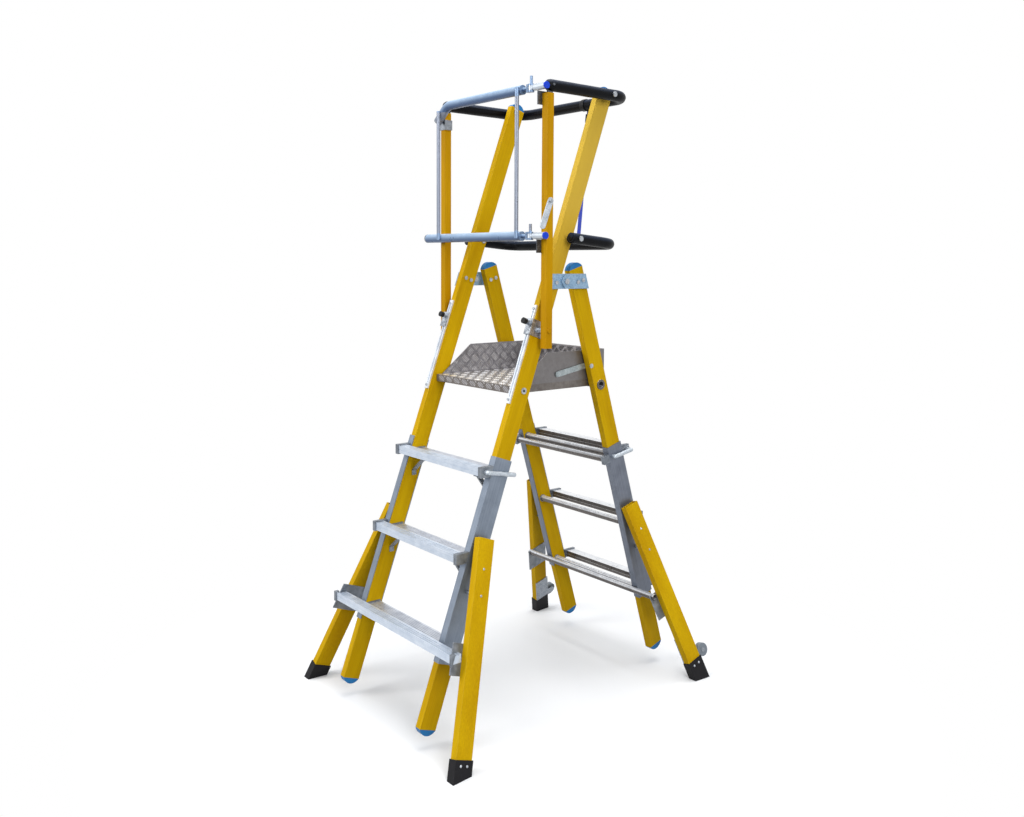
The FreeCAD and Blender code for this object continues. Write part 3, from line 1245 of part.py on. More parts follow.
post_inner = v.post_centre_x - v.post_size / 2
slider_along = front_along(v.slider_height, v.slider_pivot_depth)
post_y = front_at(v.slider_height, v.slider_pivot_depth)
slider_back = -v.track_depth - v.slider_play
plunger_along = slider_along + v.plunger_rise
for side_name, side in SIDES:
    inner = stile_inner + v.channel_lip_gap
    cheek_inner = stile_outer + v.slider_play
    low = slider_along - v.slider_length / 2
    face = box("slider_face_" + side_name,
               "stile_width - channel_lip_gap + slider_play + slider_sheet", "slider_sheet",
               "slider_length",
               in_frame(FRONT, start_x(side, inner, cheek_inner - inner + v.slider_sheet),
                        slider_back - v.slider_sheet, low))
    key = box("slider_key_" + side_name, "track_slot - 2 * slider_play", "slider_play + slider_key",
              "slider_length", in_frame(FRONT, side * track_middle - v.track_slot / 2 + v.slider_play,
                                        slider_back, low))
    cheek = box("slider_cheek_" + side_name, "slider_sheet",
                "track_depth + slider_play + slider_sheet + slider_pivot_depth + slider_cheek_back",
                "slider_length", in_frame(FRONT, start_x(side, cheek_inner, v.slider_sheet),
                                          slider_back - v.slider_sheet, low))
    boss = doc.addObject("Part::Cylinder", "slider_boss_" + side_name)
    bind(boss, "Radius", "slider_boss_radius")
    boss.Height = post_inner - cheek_inner - v.slider_sheet - v.rest_gap
    boss.Placement = in_frame(FRONT, start_x(side, cheek_inner + v.slider_sheet,
                                             post_inner - cheek_inner - v.slider_sheet - v.rest_gap),
                              v.slider_pivot_depth, slider_along, ALONG_X)
    barrel = rod("slider_barrel_" + side_name, "plunger_housing_radius", "plunger_housing",
                 in_frame(FRONT, side * track_middle, slider_back - v.slider_sheet, plunger_along,
                          FORWARD))
    bore = rod("slider_bore_" + side_name, "plunger_radius + pivot_play", "stile_depth",
               in_frame(FRONT, side * track_middle, v.stile_depth / 2, plunger_along, FORWARD))
    keep("slider_" + side_name, cut("slider_body_" + side_name,
                                    fuse("slider_blank_" + side_name, face, key, cheek, boss, barrel),
                                    bore))
    tip = slider_back + v.slider_play
    pin = rod("plunger_pin_" + side_name, "plunger_radius",
              "slider_play + slider_sheet + plunger_housing + rest_gap",
              in_frame(FRONT, side * track_middle, tip, plunger_along, FORWARD))
    knob = rod("plunger_knob_" + side_name, "plunger_knob_radius", "plunger_knob",
               in_frame(FRONT, side * track_middle,
                        slider_back - v.slider_sheet - v.plunger_housing - v.rest_gap,
                        plunger_along, FORWARD))
    keep("plunger_" + side_name, fuse("plunger_body_" + side_name, pin, knob))


# ---------------------------------------------------------------- guard rails
def u_rail(name, place, radius, half, front, rear):
    """A U-shaped bar in its placement's XY plane; front and rear are expressions along local Y."""
    corner_x = number(half) - v.rail_bend
    corner_y = number(rear) - v.rail_bend
    pieces = [rod(name + "_cross", radius, "2 * (%s - rail_bend)" % half,
                  place * at_point(-corner_x, number(rear), 0, ALONG_X))]
    for side_name, side in SIDES:
        arm = "%s_arm_%s" % (name, side_name)
        pieces.append(rod(arm, radius, "%s - rail_bend - (%s)" % (rear, front),
                          place * at_point(side * number(half), number(front), 0, ALONG_Y)))
        bend = doc.addObject("Part::Torus", "%s_bend_%s" % (name, side_name))
        bind(bend, "Radius1", "rail_bend")
        bind(bend, "Radius2", radius)
        bend.Angle3 = 90
        turn = UPRIGHT if side > 0 else Rotation(Vector(0, 0, 1), 90)
        bend.Placement = place * at_point(side * corner_x, corner_y, 0, turn)
        pieces.append(bend)
    return fuse(name, *pieces)


top_z = v.top_rail_height
top_y = front_at(top_z, v.top_pivot_depth)
post_joint_y = post_y + v.post_joint_back
TOP = at_point(0, top_y, top_z)
top_front = "%r" % (post_joint_y - top_y)
top_rear = "%r" % (hinge_y + v.top_rail_behind - top_y)


def rail_set(name, place, radius, half, front, rear, pivots, slots, round_end):
    """The tube and the foam sleeve of one guard rail, drilled and slotted alike."""
    shapes = []
    for layer, outside, inside in (("tube", "rail_tube_radius", "rail_tube_radius - rail_wall"),
                                   ("pad", radius, "rail_tube_radius")):
        solid = u_rail("%s_%s_outer" % (name, layer), place, outside, half, front, rear)
        core = u_rail("%s_%s_inner" % (name, layer), place, inside, half, front, rear)
        if round_end and layer == "pad":
            ends = [ball("%s_%s_end_%s" % (name, layer, side_name), outside,
                         place * at_point(side * number(half), number(front), 0))
                    for side_name, side in SIDES]
            solid = fuse("%s_%s_rounded" % (name, layer), solid, *ends)
        tools = [core]
        for index, (y, z, hole) in enumerate(pivots):
            tools.append(rod("%s_%s_drill_%d" % (name, layer, index), hole, "frame_width * 2",
                             at_point(-v.frame_width, y, z, ALONG_X)))
        for side_name, side in SIDES:
            if slots:
                tools.append(box("%s_%s_slot_%s" % (name, layer, side_name),
                                 "post_tongue + 2 * tongue_play",
                                 "post_tongue_width + 4 * tongue_play + rail_radius",
                                 "post_tongue_width / 2 + 2 * tongue_play + rail_radius * 2",
                                 at_point(side * v.post_centre_x - v.post_tongue / 2 - v.tongue_play,
                                          post_joint_y - v.post_tongue_width / 2 - v.rail_radius,
                                          top_z - 2 * v.rail_radius)))
        keep("%s_%s" % (name, layer), cut("%s_%s_body" % (name, layer), solid, *tools))


RAIL_HOLE = "rail_bolt_radius + pivot_play"
rail_set("top_rail", TOP, "rail_radius", "post_centre_x", top_front, top_rear,
         [(top_y, top_z, RAIL_HOLE), (post_joint_y, top_z, "post_pin_radius + pivot_play")], True, True)

mid_z = v.mid_rail_height
mid_y = front_at(mid_z, v.mid_pivot_depth)
MID = at_point(0, mid_y, mid_z, Rotation(Vector(1, 0, 0), -v.mid_rail_tilt))
rail_set("mid_rail", MID, "mid_rail_radius", "mid_rail_half", "-mid_rail_ahead", "mid_rail_behind",
         [(mid_y, mid_z, RAIL_HOLE)], False, False)

for name, half, radius, y, z in (("top", v.post_centre_x, v.rail_radius, top_y, top_z),
                                 ("mid", v.mid_rail_half, v.mid_rail_radius, mid_y, mid_z)):
    for side_name, side in SIDES:
        tag = "%s_rail_bolt_%s" % (name, side_name)
        outside = half + radius + v.rest_gap
        shank = doc.addObject("Part::Cylinder", tag + "_shank")
        bind(shank, "Radius", "rail_bolt_radius")
        shank.Height = outside - stile_inner
        shank.Placement = at_point(start_x(side, stile_inner, outside - stile_inner), y, z, ALONG_X)
        spacer = doc.addObject("Part::Cylinder", tag + "_spacer")
        bind(spacer, "Radius", "rail_spacer_radius")
        spacer.Height = half - radius - v.rest_gap - stile_outer
        spacer.Placement = at_point(start_x(side, stile_outer, half - radius - v.rest_gap
                                            - stile_outer), y, z, ALONG_X)
        head = rod(tag + "_head", "rail_bolt_head_radius", "rail_bolt_head",
                   at_point(start_x(side, outside, v.rail_bolt_head), y, z, ALONG_X))
        nut = rod(tag + "_nut", "rail_bolt_head_radius", "rail_bolt_head",
                  at_point(start_x(side, stile_inner - v.rail_bolt_head, v.rail_bolt_head), y, z,
                           ALONG_X))
        front_bolts.append(fuse(tag, shank, spacer, head, nut))
keep("front_frame_bolts", group("front_bolt_set", *front_bolts))
keep("rear_frame_bolts", group("rear_bolt_set", *rear_bolts))

# a webbing strap is looped round the top rail's rear bar and hangs down behind the middle rail's
top_bar_y = hinge_y + v.top_rail_behind
mid_bar = MID.multVec(Vector(0, v.mid_rail_behind, 0))
strap_run = (top_bar_y + v.rail_radius) - (mid_bar.y + v.mid_rail_radius + v.strap_clear)
strap_lean = math.atan2(strap_run, top_z - mid_bar.z)
strap_length = (top_z - mid_bar.z + v.strap_end_below) / math.cos(strap_lean)
STRAP = at_point(v.strap_side, top_bar_y + v.rail_radius, top_z,
                 Rotation(Vector(1, 0, 0), -math.degrees(strap_lean)))
web = doc.addObject("Part::Box", "strap_web")
bind(web, "Length", "strap_width")
bind(web, "Width", "strap_thickness")
web.Height = strap_length
web.Placement = STRAP * at_point(-v.strap_width / 2, 0, -strap_length)
loop = rod("strap_loop", "rail_radius + strap_thickness", "strap_width",
           at_point(v.strap_side - v.strap_width / 2, top_bar_y, top_z, ALONG_X))
keep("rail_strap", cut("strap_body", fuse("strap_whole", web, loop),
                       rod("strap_rail", "rail_radius", "frame_width",
                           at_point(v.strap_side - v.frame_width / 2, top_bar_y, top_z, ALONG_X))))
buckle = box("buckle_block", "strap_width + 2 * buckle_wall", "strap_thickness + 2 * buckle_wall",
             "buckle_height", STRAP * at_point(-v.strap_width / 2 - v.buckle_wall, -v.buckle_wall,
                                               -v.buckle_drop))
keep("strap_buckle", cut("buckle_body", buckle,
                         box("buckle_slot", "strap_width", "strap_thickness", "buckle_height",
                             STRAP * at_point(-v.strap_width / 2, 0, -v.buckle_drop))))

# ---------------------------------------------------------------- posts
post_top = top_z - v.rail_radius - v.post_top_gap
for side_name, side in SIDES:
    x = side * v.post_centre_x
    outer = doc.addObject("Part::Box", "post_outer_" + side_name)
    bind(outer, "Length", "post_size")
    bind(outer, "Width", "post_size")
    bind(outer, "Height", "top_rail_height - rail_radius - post_top_gap - post_foot")
    outer.Placement = at_point(x - v.post_size / 2, post_y - v.post_size / 2, v.post_foot)
    hollow = doc.addObject("Part::Box", "post_hollow_" + side_name)
    bind(hollow, "Length", "post_size - 2 * post_wall")
    bind(hollow, "Width", "post_size - 2 * post_wall")
    bind(hollow, "Height", "top_rail_height - rail_radius - post_top_gap - post_foot")
    hollow.Placement = at_point(x - v.post_size / 2 + v.post_wall,
                                post_y - v.post_size / 2 + v.post_wall, v.post_foot)
    holes = [(post_y, v.slider_height, "rail_bolt_radius")]
    bolts = [fuse("post_bolt_" + side_name,
                  rod("post_bolt_shank_" + side_name, "rail_bolt_radius", "post_size",
                      at_point(start_x(side, post_inner, v.post_size), post_y, v.slider_height,
                               ALONG_X)),
                  rod("post_bolt_head_" + side_name, "rail_bolt_head_radius", "rail_bolt_head",
                      at_point(start_x(side, post_inner + v.post_size, v.rail_bolt_head), post_y,
                               v.slider_height, ALONG_X)))]
    if side > 0:
        holes.append((post_y, v.lever_height, "hinge_bolt_radius"))
        reach = v.post_size + v.lever_sheet + 2 * v.rest_gap
        shank = doc.addObject("Part::Cylinder", "lever_bolt_shank")
        bind(shank, "Radius", "hinge_bolt_radius")
        shank.Height = reach
        shank.Placement = at_point(post_inner, post_y, v.lever_height, ALONG_X)
        bolts.append(fuse("lever_bolt", shank,
                          rod("lever_bolt_head", "hinge_bolt_head_radius", "hinge_bolt_head",
                              at_point(post_inner + reach, post_y, v.lever_height, ALONG_X))))
    keep("post_" + side_name, group("post_set_" + side_name,
                                    drilled("post_tube_" + side_name,
                                            cut("post_blank_" + side_name, outer, hollow), holes),
                                    *bolts))
    # the tongue that turns in the slotted end of the top rail
    block = doc.addObject("Part::Box", "tongue_block_" + side_name)
    bind(block, "Length", "post_size - 2 * post_wall")
    bind(block, "Width", "post_size - 2 * post_wall")
    bind(block, "Height", "post_size")
    block.Placement = at_point(x - v.post_size / 2 + v.post_wall,
                               post_y - v.post_size / 2 + v.post_wall, post_top - v.post_size)
    blade = doc.addObject("Part::Box", "tongue_blade_" + side_name)
    bind(blade, "Length", "post_tongue")
    bind(blade, "Width", "post_tongue_width")
    bind(blade, "Height", "rail_radius + post_top_gap")
    blade.Placement = at_point(x - v.post_tongue / 2, post_joint_y - v.post_tongue_width / 2, post_top)
    tip = rod("tongue_tip_" + side_name, "post_tongue_width / 2", "post_tongue",
              at_point(x - v.post_tongue / 2, post_joint_y, top_z, ALONG_X))
    pin = rod("tongue_pin_" + side_name, "post_pin_radius", "2 * rail_radius + 2 * rivet_head",
              at_point(x - v.rail_radius - v.rivet_head, post_joint_y, top_z, ALONG_X))
    keep("post_tongue_" + side_name, fuse("tongue_" + side_name, block, blade, tip, pin))


def post_band(name, side, height, middle):
    """A sheet band clamped around a post."""
    x = side * v.post_centre_x
    half = v.post_size / 2
    outer = box(name + "_outer", "post_size + 2 * clamp_sheet", "post_size + 2 * clamp_sheet", height,
                at_point(x - half - v.clamp_sheet, post_y - half - v.clamp_sheet,
                         middle - number(height) / 2))
    inner = box(name + "_inner", "post_size", "post_size", height,
                at_point(x - half, post_y - half, middle - number(height) / 2))
    return cut(name, outer, inner)


keep("catch_band", post_band("catch_band_body", -1, "band_height", v.band_centre))

# ---------------------------------------------------------------- gate
gate_y = post_y - v.post_size / 2 - v.clamp_sheet - v.gate_stand_off - v.gate_rail_radius
GATE_LEVELS = (("top", v.gate_top_height), ("mid", v.gate_mid_height))
clamps, stubs, stub_plugs = [], [], []
for level, z in GATE_LEVELS:
    clamps.append(box("clamp_" + level, "clamp_sheet",
                      "gate_rail_radius + gate_stand_off + clamp_sheet + post_size", "clamp_height",
                      at_point(post_inner - v.clamp_sheet, gate_y,
                               z - v.stub_radius - v.rest_gap - v.clamp_height)))
    tube = rod("stub_tube_" + level, "stub_radius", "stub_right_end - stub_left_end",
               at_point(v.stub_left_end, gate_y, z, ALONG_X))
    bore = rod("stub_bore_" + level, "stub_radius - gate_rail_wall",
               "stub_right_end - stub_left_end - plug_length",
               at_point(v.stub_left_end + v.plug_length, gate_y, z, ALONG_X))
    rest = box("stub_rest_" + level, "post_size",
               "gate_rail_radius + gate_stand_off + clamp_sheet",
               "stub_radius", at_point(post_inner, gate_y, z - v.stub_radius / 2))
    arm = rod("stub_arm_" + level, "gate_rod_radius", "stub_left_end + plug_length - gate_axis_x",
              at_point(v.gate_axis_x, gate_y, z, ALONG_X))
    eye = rod("stub_eye_" + level, "gate_eye_radius", "gate_eye_height",
              at_point(v.gate_axis_x, gate_y, z - v.gate_eye_height / 2))
    hole = rod("stub_eye_hole_" + level, "gate_pin_radius + gate_eye_play", "gate_eye_height * 3",
               at_point(v.gate_axis_x, gate_y, z - 1.5 * v.gate_eye_height))
    stubs.append(cut("stub_" + level, fuse("stub_blank_" + level, tube, rest, arm, eye), bore, hole))
    spigot = rod("stub_spigot_" + level, "stub_radius - gate_rail_wall", "plug_length * 2",
                 at_point(v.stub_right_end - 2 * v.plug_length, gate_y, z, ALONG_X))
    flange_disc = rod("stub_disc_" + level, "stub_radius", "plug_length",
                      at_point(v.stub_right_end, gate_y, z, ALONG_X))
    stub_plugs.append(fuse("stub_plug_" + level, spigot, flange_disc))
keep("post_clamps", group("clamp_set", *clamps))
keep("gate_stubs", group("stub_set", *stubs))
keep("stub_plugs", group("stub_plug_set", *stub_plugs))

lean = Rotation(Vector(1, 0, 0), -v.lever_lean)
lever_x = v.post_centre_x + v.post_size / 2 + v.rest_gap
LEVER = at_point(lever_x, post_y, v.lever_height, lean)
keep("latch_lever", drilled("lever_body", fuse(
    "lever_blank",
    box("lever_bar", "lever_sheet", "lever_width", "lever_length",
        LEVER * at_point(0, -v.lever_width / 2, -v.lever_length)),
    rod("lever_top", "lever_width / 2", "lever_sheet", LEVER * at_point(0, 0, 0, ALONG_X)),
    rod("lever_foot", "lever_width / 2", "lever_sheet",
        LEVER * at_point(0, 0, -v.lever_length, ALONG_X))),
    [(post_y, v.lever_height, "hinge_bolt_radius + pivot_play")]))

# the gate: two rails, the upper one bent down at its free end, and two uprights in front
bend_sin, bend_cos = lean_sine(v.gate_bend_angle), lean_cosine(v.gate_bend_angle)
hook_x = v.gate_bend_start - v.gate_bend_radius * bend_sin
hook_z = v.gate_top_height - v.gate_bend_radius * (1 - bend_cos)
HOOK = at_point(hook_x, gate_y, hook_z, Rotation(Vector(0, 1, 0), 180 + 90 - v.gate_bend_angle))


def bent_rail(name, radius):
    """The gate's upper rail with its bend and hook."""
    straight = rod(name + "_straight", radius, "gate_right_end - gate_bend_start",
                   at_point(v.gate_bend_start, gate_y, v.gate_top_height, ALONG_X))
    bend = doc.addObject("Part::Torus", name + "_bend")
    bind(bend, "Radius1", "gate_bend_radius")
    bind(bend, "Radius2", radius)
    bind(bend, "Angle3", "gate_bend_angle")
    bend.Placement = at_point(v.gate_bend_start, gate_y, v.gate_top_height - v.gate_bend_radius,
                              FRONT_VIEW * Rotation(Vector(0, 0, 1), 90))
    hook = rod(name + "_hook", radius, "gate_hook_length", HOOK)
    return fuse(name, straight, bend, hook)


def mid_gate_rail(name, radius):
    return rod(name, radius, "gate_right_end - gate_left_end",
               at_point(v.gate_left_end, gate_y, v.gate_mid_height, ALONG_X))


upright_y = gate_y - v.gate_rail_radius - v.gate_upright_radius / 2
hook_drop = (hook_x - v.gate_upright_left) * bend_sin / bend_cos
gate_bores = [bent_rail("gate_top_bore", "gate_rail_radius - gate_rail_wall"),
              mid_gate_rail("gate_mid_bore", "gate_rail_radius - gate_rail_wall")]
shapes = [cut("gate_top_tube", bent_rail("gate_top_rail", "gate_rail_radius"), gate_bores[0]),
          cut("gate_mid_tube", mid_gate_rail("gate_mid_rail", "gate_rail_radius"), gate_bores[1])]
for name, x, top in (("right", v.gate_upright_right, v.gate_top_height),
                     ("left", v.gate_upright_left, hook_z - hook_drop)):
    upright = doc.addObject("Part::Cylinder", "gate_upright_" + name)
    bind(upright, "Radius", "gate_upright_radius")
    upright.Height = top - v.gate_mid_height + 2 * v.gate_upright_radius
    upright.Placement = at_point(x, upright_y, v.gate_mid_height - v.gate_upright_radius)
    shapes.append(upright)
for level, z in GATE_LEVELS:
    outer_half = v.gate_eye_height / 2 + v.gate_eye_play * 3
    shapes.append(rod("gate_end_" + level, "gate_rail_radius - gate_rail_wall", "plug_length",
                      at_point(v.gate_right_end - v.plug_length, gate_y, z, ALONG_X)))
    clevis = v.gate_axis_x - v.gate_eye_radius - v.clevis_gap - v.clevis_wall
    rod_in = doc.addObject("Part::Cylinder", "gate_rod_" + level)
    bind(rod_in, "Radius", "gate_rod_radius")
    rod_in.Height = clevis - v.gate_right_end + v.plug_length + v.clevis_wall / 2
    rod_in.Placement = at_point(v.gate_right_end - v.plug_length, gate_y, z, ALONG_X)
    shapes.append(rod_in)
    bridge = doc.addObject("Part::Box", "gate_bridge_" + level)
    bind(bridge, "Length", "clevis_wall")
    bind(bridge, "Width", "2 * gate_rod_radius")
    bridge.Height = 2 * (outer_half + v.clevis_ear)
    bridge.Placement = at_point(clevis, gate_y - v.gate_rod_radius, z - outer_half - v.clevis_ear)
    shapes.append(bridge)
    for tag, low in (("upper", z + outer_half), ("lower", z - outer_half - v.clevis_ear)):
        shapes.append(rod("gate_ear_%s_%s" % (level, tag), "gate_eye_radius", "clevis_ear",
                          at_point(v.gate_axis_x, gate_y, low)))
        shapes.append(box("gate_arm_%s_%s" % (level, tag),
                          "clevis_wall + clevis_gap + gate_eye_radius", "2 * gate_rod_radius",
                          "clevis_ear", at_point(clevis, gate_y - v.gate_rod_radius, low)))
    pin = doc.addObject("Part::Cylinder", "gate_pin_" + level)
    bind(pin, "Radius", "gate_pin_radius")
    pin.Height = 2 * (outer_half + v.clevis_ear) + v.gate_pin_rise
    pin.Placement = at_point(v.gate_axis_x, gate_y, z - outer_half - v.clevis_ear)
    shapes.append(pin)
keep("gate_frame", fuse("gate_frame_body", *shapes))

hook_disc = rod("hook_disc", "gate_rail_radius", "plug_length",
                HOOK * at_point(0, 0, v.gate_hook_length))
hook_spigot = rod("hook_spigot", "gate_rail_radius - gate_rail_wall", "plug_length * 3",
                  HOOK * at_point(0, 0, v.gate_hook_length - 2 * v.plug_length))
left_disc = rod("gate_disc", "gate_rail_radius", "plug_length",
                at_point(v.gate_left_end - v.plug_length, gate_y, v.gate_mid_height, ALONG_X))
left_spigot = rod("gate_spigot", "gate_rail_radius - gate_rail_wall", "plug_length * 3",
                  at_point(v.gate_left_end - v.plug_length, gate_y, v.gate_mid_height, ALONG_X))
keep("gate_plugs", group("gate_plug_set", fuse("hook_plug", hook_disc, hook_spigot),
                         fuse("gate_plug", left_disc, left_spigot)))

# ---------------------------------------------------------------- checks and files
doc.recompute()
for item in doc.Objects:
    if "Invalid" in item.State or "Error" in item.State:
        raise RuntimeError("%s failed: %s" % (item.Name, item.State))
for item in nodes:
    if item.Shape.isNull() or not item.Shape.isValid() or not item.Shape.Solids:
        raise RuntimeError("%s has no valid solid" % item.Label)
os.makedirs("parts", exist_ok=True)
for item in nodes:
    item.Shape.exportStep("parts/%s.step" % item.Label)
print("%d sub-parts written" % len(nodes))
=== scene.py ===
import json
import math

import bpy
from mathutils import Matrix, Vector, noise


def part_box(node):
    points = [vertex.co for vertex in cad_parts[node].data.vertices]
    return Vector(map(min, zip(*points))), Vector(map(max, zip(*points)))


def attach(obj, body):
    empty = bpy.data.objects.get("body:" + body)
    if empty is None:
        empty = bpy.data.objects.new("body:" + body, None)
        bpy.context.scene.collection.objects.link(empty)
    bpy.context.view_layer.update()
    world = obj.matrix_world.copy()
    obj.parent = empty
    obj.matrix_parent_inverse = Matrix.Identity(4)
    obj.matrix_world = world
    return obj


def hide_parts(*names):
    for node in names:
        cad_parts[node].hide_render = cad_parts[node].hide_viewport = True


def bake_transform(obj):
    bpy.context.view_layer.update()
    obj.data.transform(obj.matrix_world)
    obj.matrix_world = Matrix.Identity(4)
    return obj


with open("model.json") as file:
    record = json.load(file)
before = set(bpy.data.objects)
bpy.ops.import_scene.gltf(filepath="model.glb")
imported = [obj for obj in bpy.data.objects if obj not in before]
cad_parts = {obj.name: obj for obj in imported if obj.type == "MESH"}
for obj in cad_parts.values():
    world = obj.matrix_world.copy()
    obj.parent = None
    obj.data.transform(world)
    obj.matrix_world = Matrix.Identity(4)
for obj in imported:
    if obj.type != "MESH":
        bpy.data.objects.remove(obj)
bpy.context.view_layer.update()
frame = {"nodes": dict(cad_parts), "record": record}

# ---------------------------------------------------------------- glass-fibre stiles, legs and posts
# Box sections of pultruded glass fibre: strands and veil pulled through a hot die in polyester resin
# with a golden pigment. The posts come from another batch and are more orange.
FRONT_LEAN = math.radians(20)
REAR_LEAN = math.radians(17)


def linear(hex_text):
    """An sRGB hex colour as the linear values that a shader reads."""
    parts = [int(hex_text[i:i + 2], 16) / 255 for i in (1, 3, 5)]
    return [p / 12.92 if p <= 0.04045 else ((p + 0.055) / 1.055) ** 2.4 for p in parts] + [1.0]


def add(tree, kind, inputs=None, **settings):
    """One node with its settings; each input takes a value, or the output it is linked to."""
    made = tree.nodes.new(kind)
    for name, value in settings.items():
        setattr(made, name, value)
    for name, value in (inputs or {}).items():
        if isinstance(value, bpy.types.NodeSocket):
            tree.links.new(value, made.inputs[name])
        else:
            made.inputs[name].default_value = value
    return made


def surface(name, inputs):
    """A new material: returns it with its tree and its Principled shader."""
    material = bpy.data.materials.new(name)
    material.use_nodes = True
    shader = material.node_tree.nodes["Principled BSDF"]
    for socket, value in inputs.items():
        shader.inputs[socket].default_value = value
    return material, material.node_tree, shader.inputs


def dress(material, *nodes):
    """Gives CAD nodes their finish."""
    for name in nodes:
        for holder in frame["nodes"][name].material_slots:
            holder.material = material


def painted_corner_highlight(tree, skin, corner, colour, start, most):
    """A painted highlight along the corners, mixed in where a bevelled normal leaves the face's own."""
    flat = add(tree, "ShaderNodeNewGeometry").outputs["Normal"]
    level = add(tree, "ShaderNodeVectorMath", {0: corner, 1: flat}, operation="DOT_PRODUCT")
    corner_highlight_share = add(tree, "ShaderNodeMapRange", {"Value": level.outputs["Value"], "From Min": start,
                                            "From Max": 0.8, "To Max": most}).outputs[0]
    return add(tree, "ShaderNodeMix", {0: corner_highlight_share, 6: skin, 7: linear(colour)},
               data_type="RGBA").outputs[2]


def gloss_and_relief(tree, shader, uneven, smooth, rough, height, depth, corner):
    """Roughness from one pattern, and a bump of another laid over the corners' soft normal."""
    gloss = add(tree, "ShaderNodeMapRange", {"Value": uneven, "To Min": smooth, "To Max": rough})
    tree.links.new(gloss.outputs[0], shader["Roughness"])
    relief = add(tree, "ShaderNodeBump", {"Height": height, "Distance": depth, "Normal": corner})
    tree.links.new(relief.outputs[0], shader["Normal"])


# The real strands lie closer; they are drawn 2.5 mm apart and up to 200 mm long, to show as faint
# streaks. Resin gives a soft gloss, and the corners are painted a little paler, a painted highlight.
# The right front stile is drawn paler above the hinge.
PALER_FROM_HEIGHT = 1.35
PALER_FULL_HEIGHT = 1.72


def pultruded_glass_fibre(name, lean, shade, light, edge_highlight, upper_colour=None):
    material, tree, shader = surface(name, {"IOR": 1.5, "Specular IOR Level": 0.08})
    place = add(tree, "ShaderNodeTexCoord").outputs["Object"]
    upright = add(tree, "ShaderNodeVectorRotate", {"Vector": place, "Angle": lean},
                  rotation_type="X_AXIS").outputs[0]
    along = add(tree, "ShaderNodeMapping", {"Vector": upright, "Scale": (400, 400, 5)}).outputs[0]
    strands = add(tree, "ShaderNodeTexNoise",
                  {"Vector": along, "Scale": 1.0, "Detail": 5.0, "Roughness": 0.62}).outputs[0]
    cloudy = add(tree, "ShaderNodeMapping", {"Vector": upright, "Scale": (14, 14, 3.5)}).outputs[0]
    cloud = add(tree, "ShaderNodeTexNoise", {"Vector": cloudy, "Scale": 1.0, "Detail": 3.0}).outputs[0]
    both = add(tree, "ShaderNodeMix", {"Factor": 0.45, "A": strands, "B": cloud}).outputs[0]
    spread = add(tree, "ShaderNodeMapRange", {"Value": both, "From Min": 0.36, "From Max": 0.64})
    skin = add(tree, "ShaderNodeMix", {0: spread.outputs[0], 6: linear(shade), 7: linear(light)},
               data_type="RGBA").outputs[2]
    # The right stile is mixed paler above the hinge.
    if upper_colour:
        where = add(tree, "ShaderNodeSeparateXYZ", {"Vector": place}).outputs
        upper_share = add(tree, "ShaderNodeMapRange", {"Value": where["Z"], "From Min": PALER_FROM_HEIGHT,
                                                  "From Max": PALER_FULL_HEIGHT, "To Max": 0.72}).outputs[0]
        right = add(tree, "ShaderNodeMath", {0: where["X"], 1: 0.0}, operation="GREATER_THAN").outputs[0]
        upper_share = add(tree, "ShaderNodeMath", {0: upper_share, 1: right}, operation="MULTIPLY").outputs[0]
        skin = add(tree, "ShaderNodeMix", {0: upper_share, 6: skin, 7: linear(upper_colour)},
                   data_type="RGBA").outputs[2]
    corner = add(tree, "ShaderNodeBevel", {"Radius": 0.0022}, samples=4).outputs[0]
    # Painted highlight: the corners are mixed paler.
    skin = painted_corner_highlight(tree, skin, corner, edge_highlight, 0.99, 0.55)
    tree.links.new(skin, shader["Base Color"])
    veil = add(tree, "ShaderNodeMapping", {"Vector": upright, "Scale": (1100, 1100, 70)}).outputs[0]
    weave = add(tree, "ShaderNodeTexNoise", {"Vector": veil, "Scale": 1.0, "Detail": 4.0}).outputs[0]
    gloss_and_relief(tree, shader, strands, 0.4, 0.6, weave, 0.00012, corner)
    return material


dress(pultruded_glass_fibre("glass_fibre_pultruded_front", FRONT_LEAN, "#C29400", "#DCB204",
                            "#E6C84A", "#D9B74C"), "front_stiles", "front_legs")
dress(pultruded_glass_fibre("glass_fibre_pultruded_rear", -REAR_LEAN, "#C29400", "#DCB204",
                            "#E6C84A"), "rear_stiles", "rear_legs")
dress(pultruded_glass_fibre("glass_fibre_pultruded_post", 0.0, "#BA8400", "#D29E04", "#DFB22C"),
      "post_left", "post_right")


# ---------------------------------------------------------------- caps, plugs and knobs
# Polypropylene caps close the stiles and polythene plugs the gate's stubs; the knobs, the saddles and
# the middle rail's black tube ends are nylon. All are injection moulded in a spark-eroded tool, so
# they have a fine 0.8 mm grain, no streaks and a soft gloss.
MOULD_GRAIN_MM = 0.8


def injection_moulded(name, shade, light, rough):
    material, tree, shader = surface(name, {"IOR": 1.49, "Specular IOR Level": 0.25})
    place = add(tree, "ShaderNodeTexCoord").outputs["Object"]
    flow = add(tree, "ShaderNodeTexNoise", {"Vector": place, "Scale": 45.0, "Detail": 4.0}).outputs[0]
    colour = add(tree, "ShaderNodeMix", {0: flow, 6: linear(shade), 7: linear(light)},
                 data_type="RGBA")
    tree.links.new(colour.outputs[2], shader["Base Color"])
    grain = add(tree, "ShaderNodeTexNoise",
                {"Vector": place, "Scale": 1000 / MOULD_GRAIN_MM, "Detail": 2.0}).outputs[0]
    corner = add(tree, "ShaderNodeBevel", {"Radius": 0.0012}, samples=4).outputs[0]
    gloss_and_relief(tree, shader, grain, rough - 0.08, rough + 0.1, grain, 0.00006, corner)
    return material


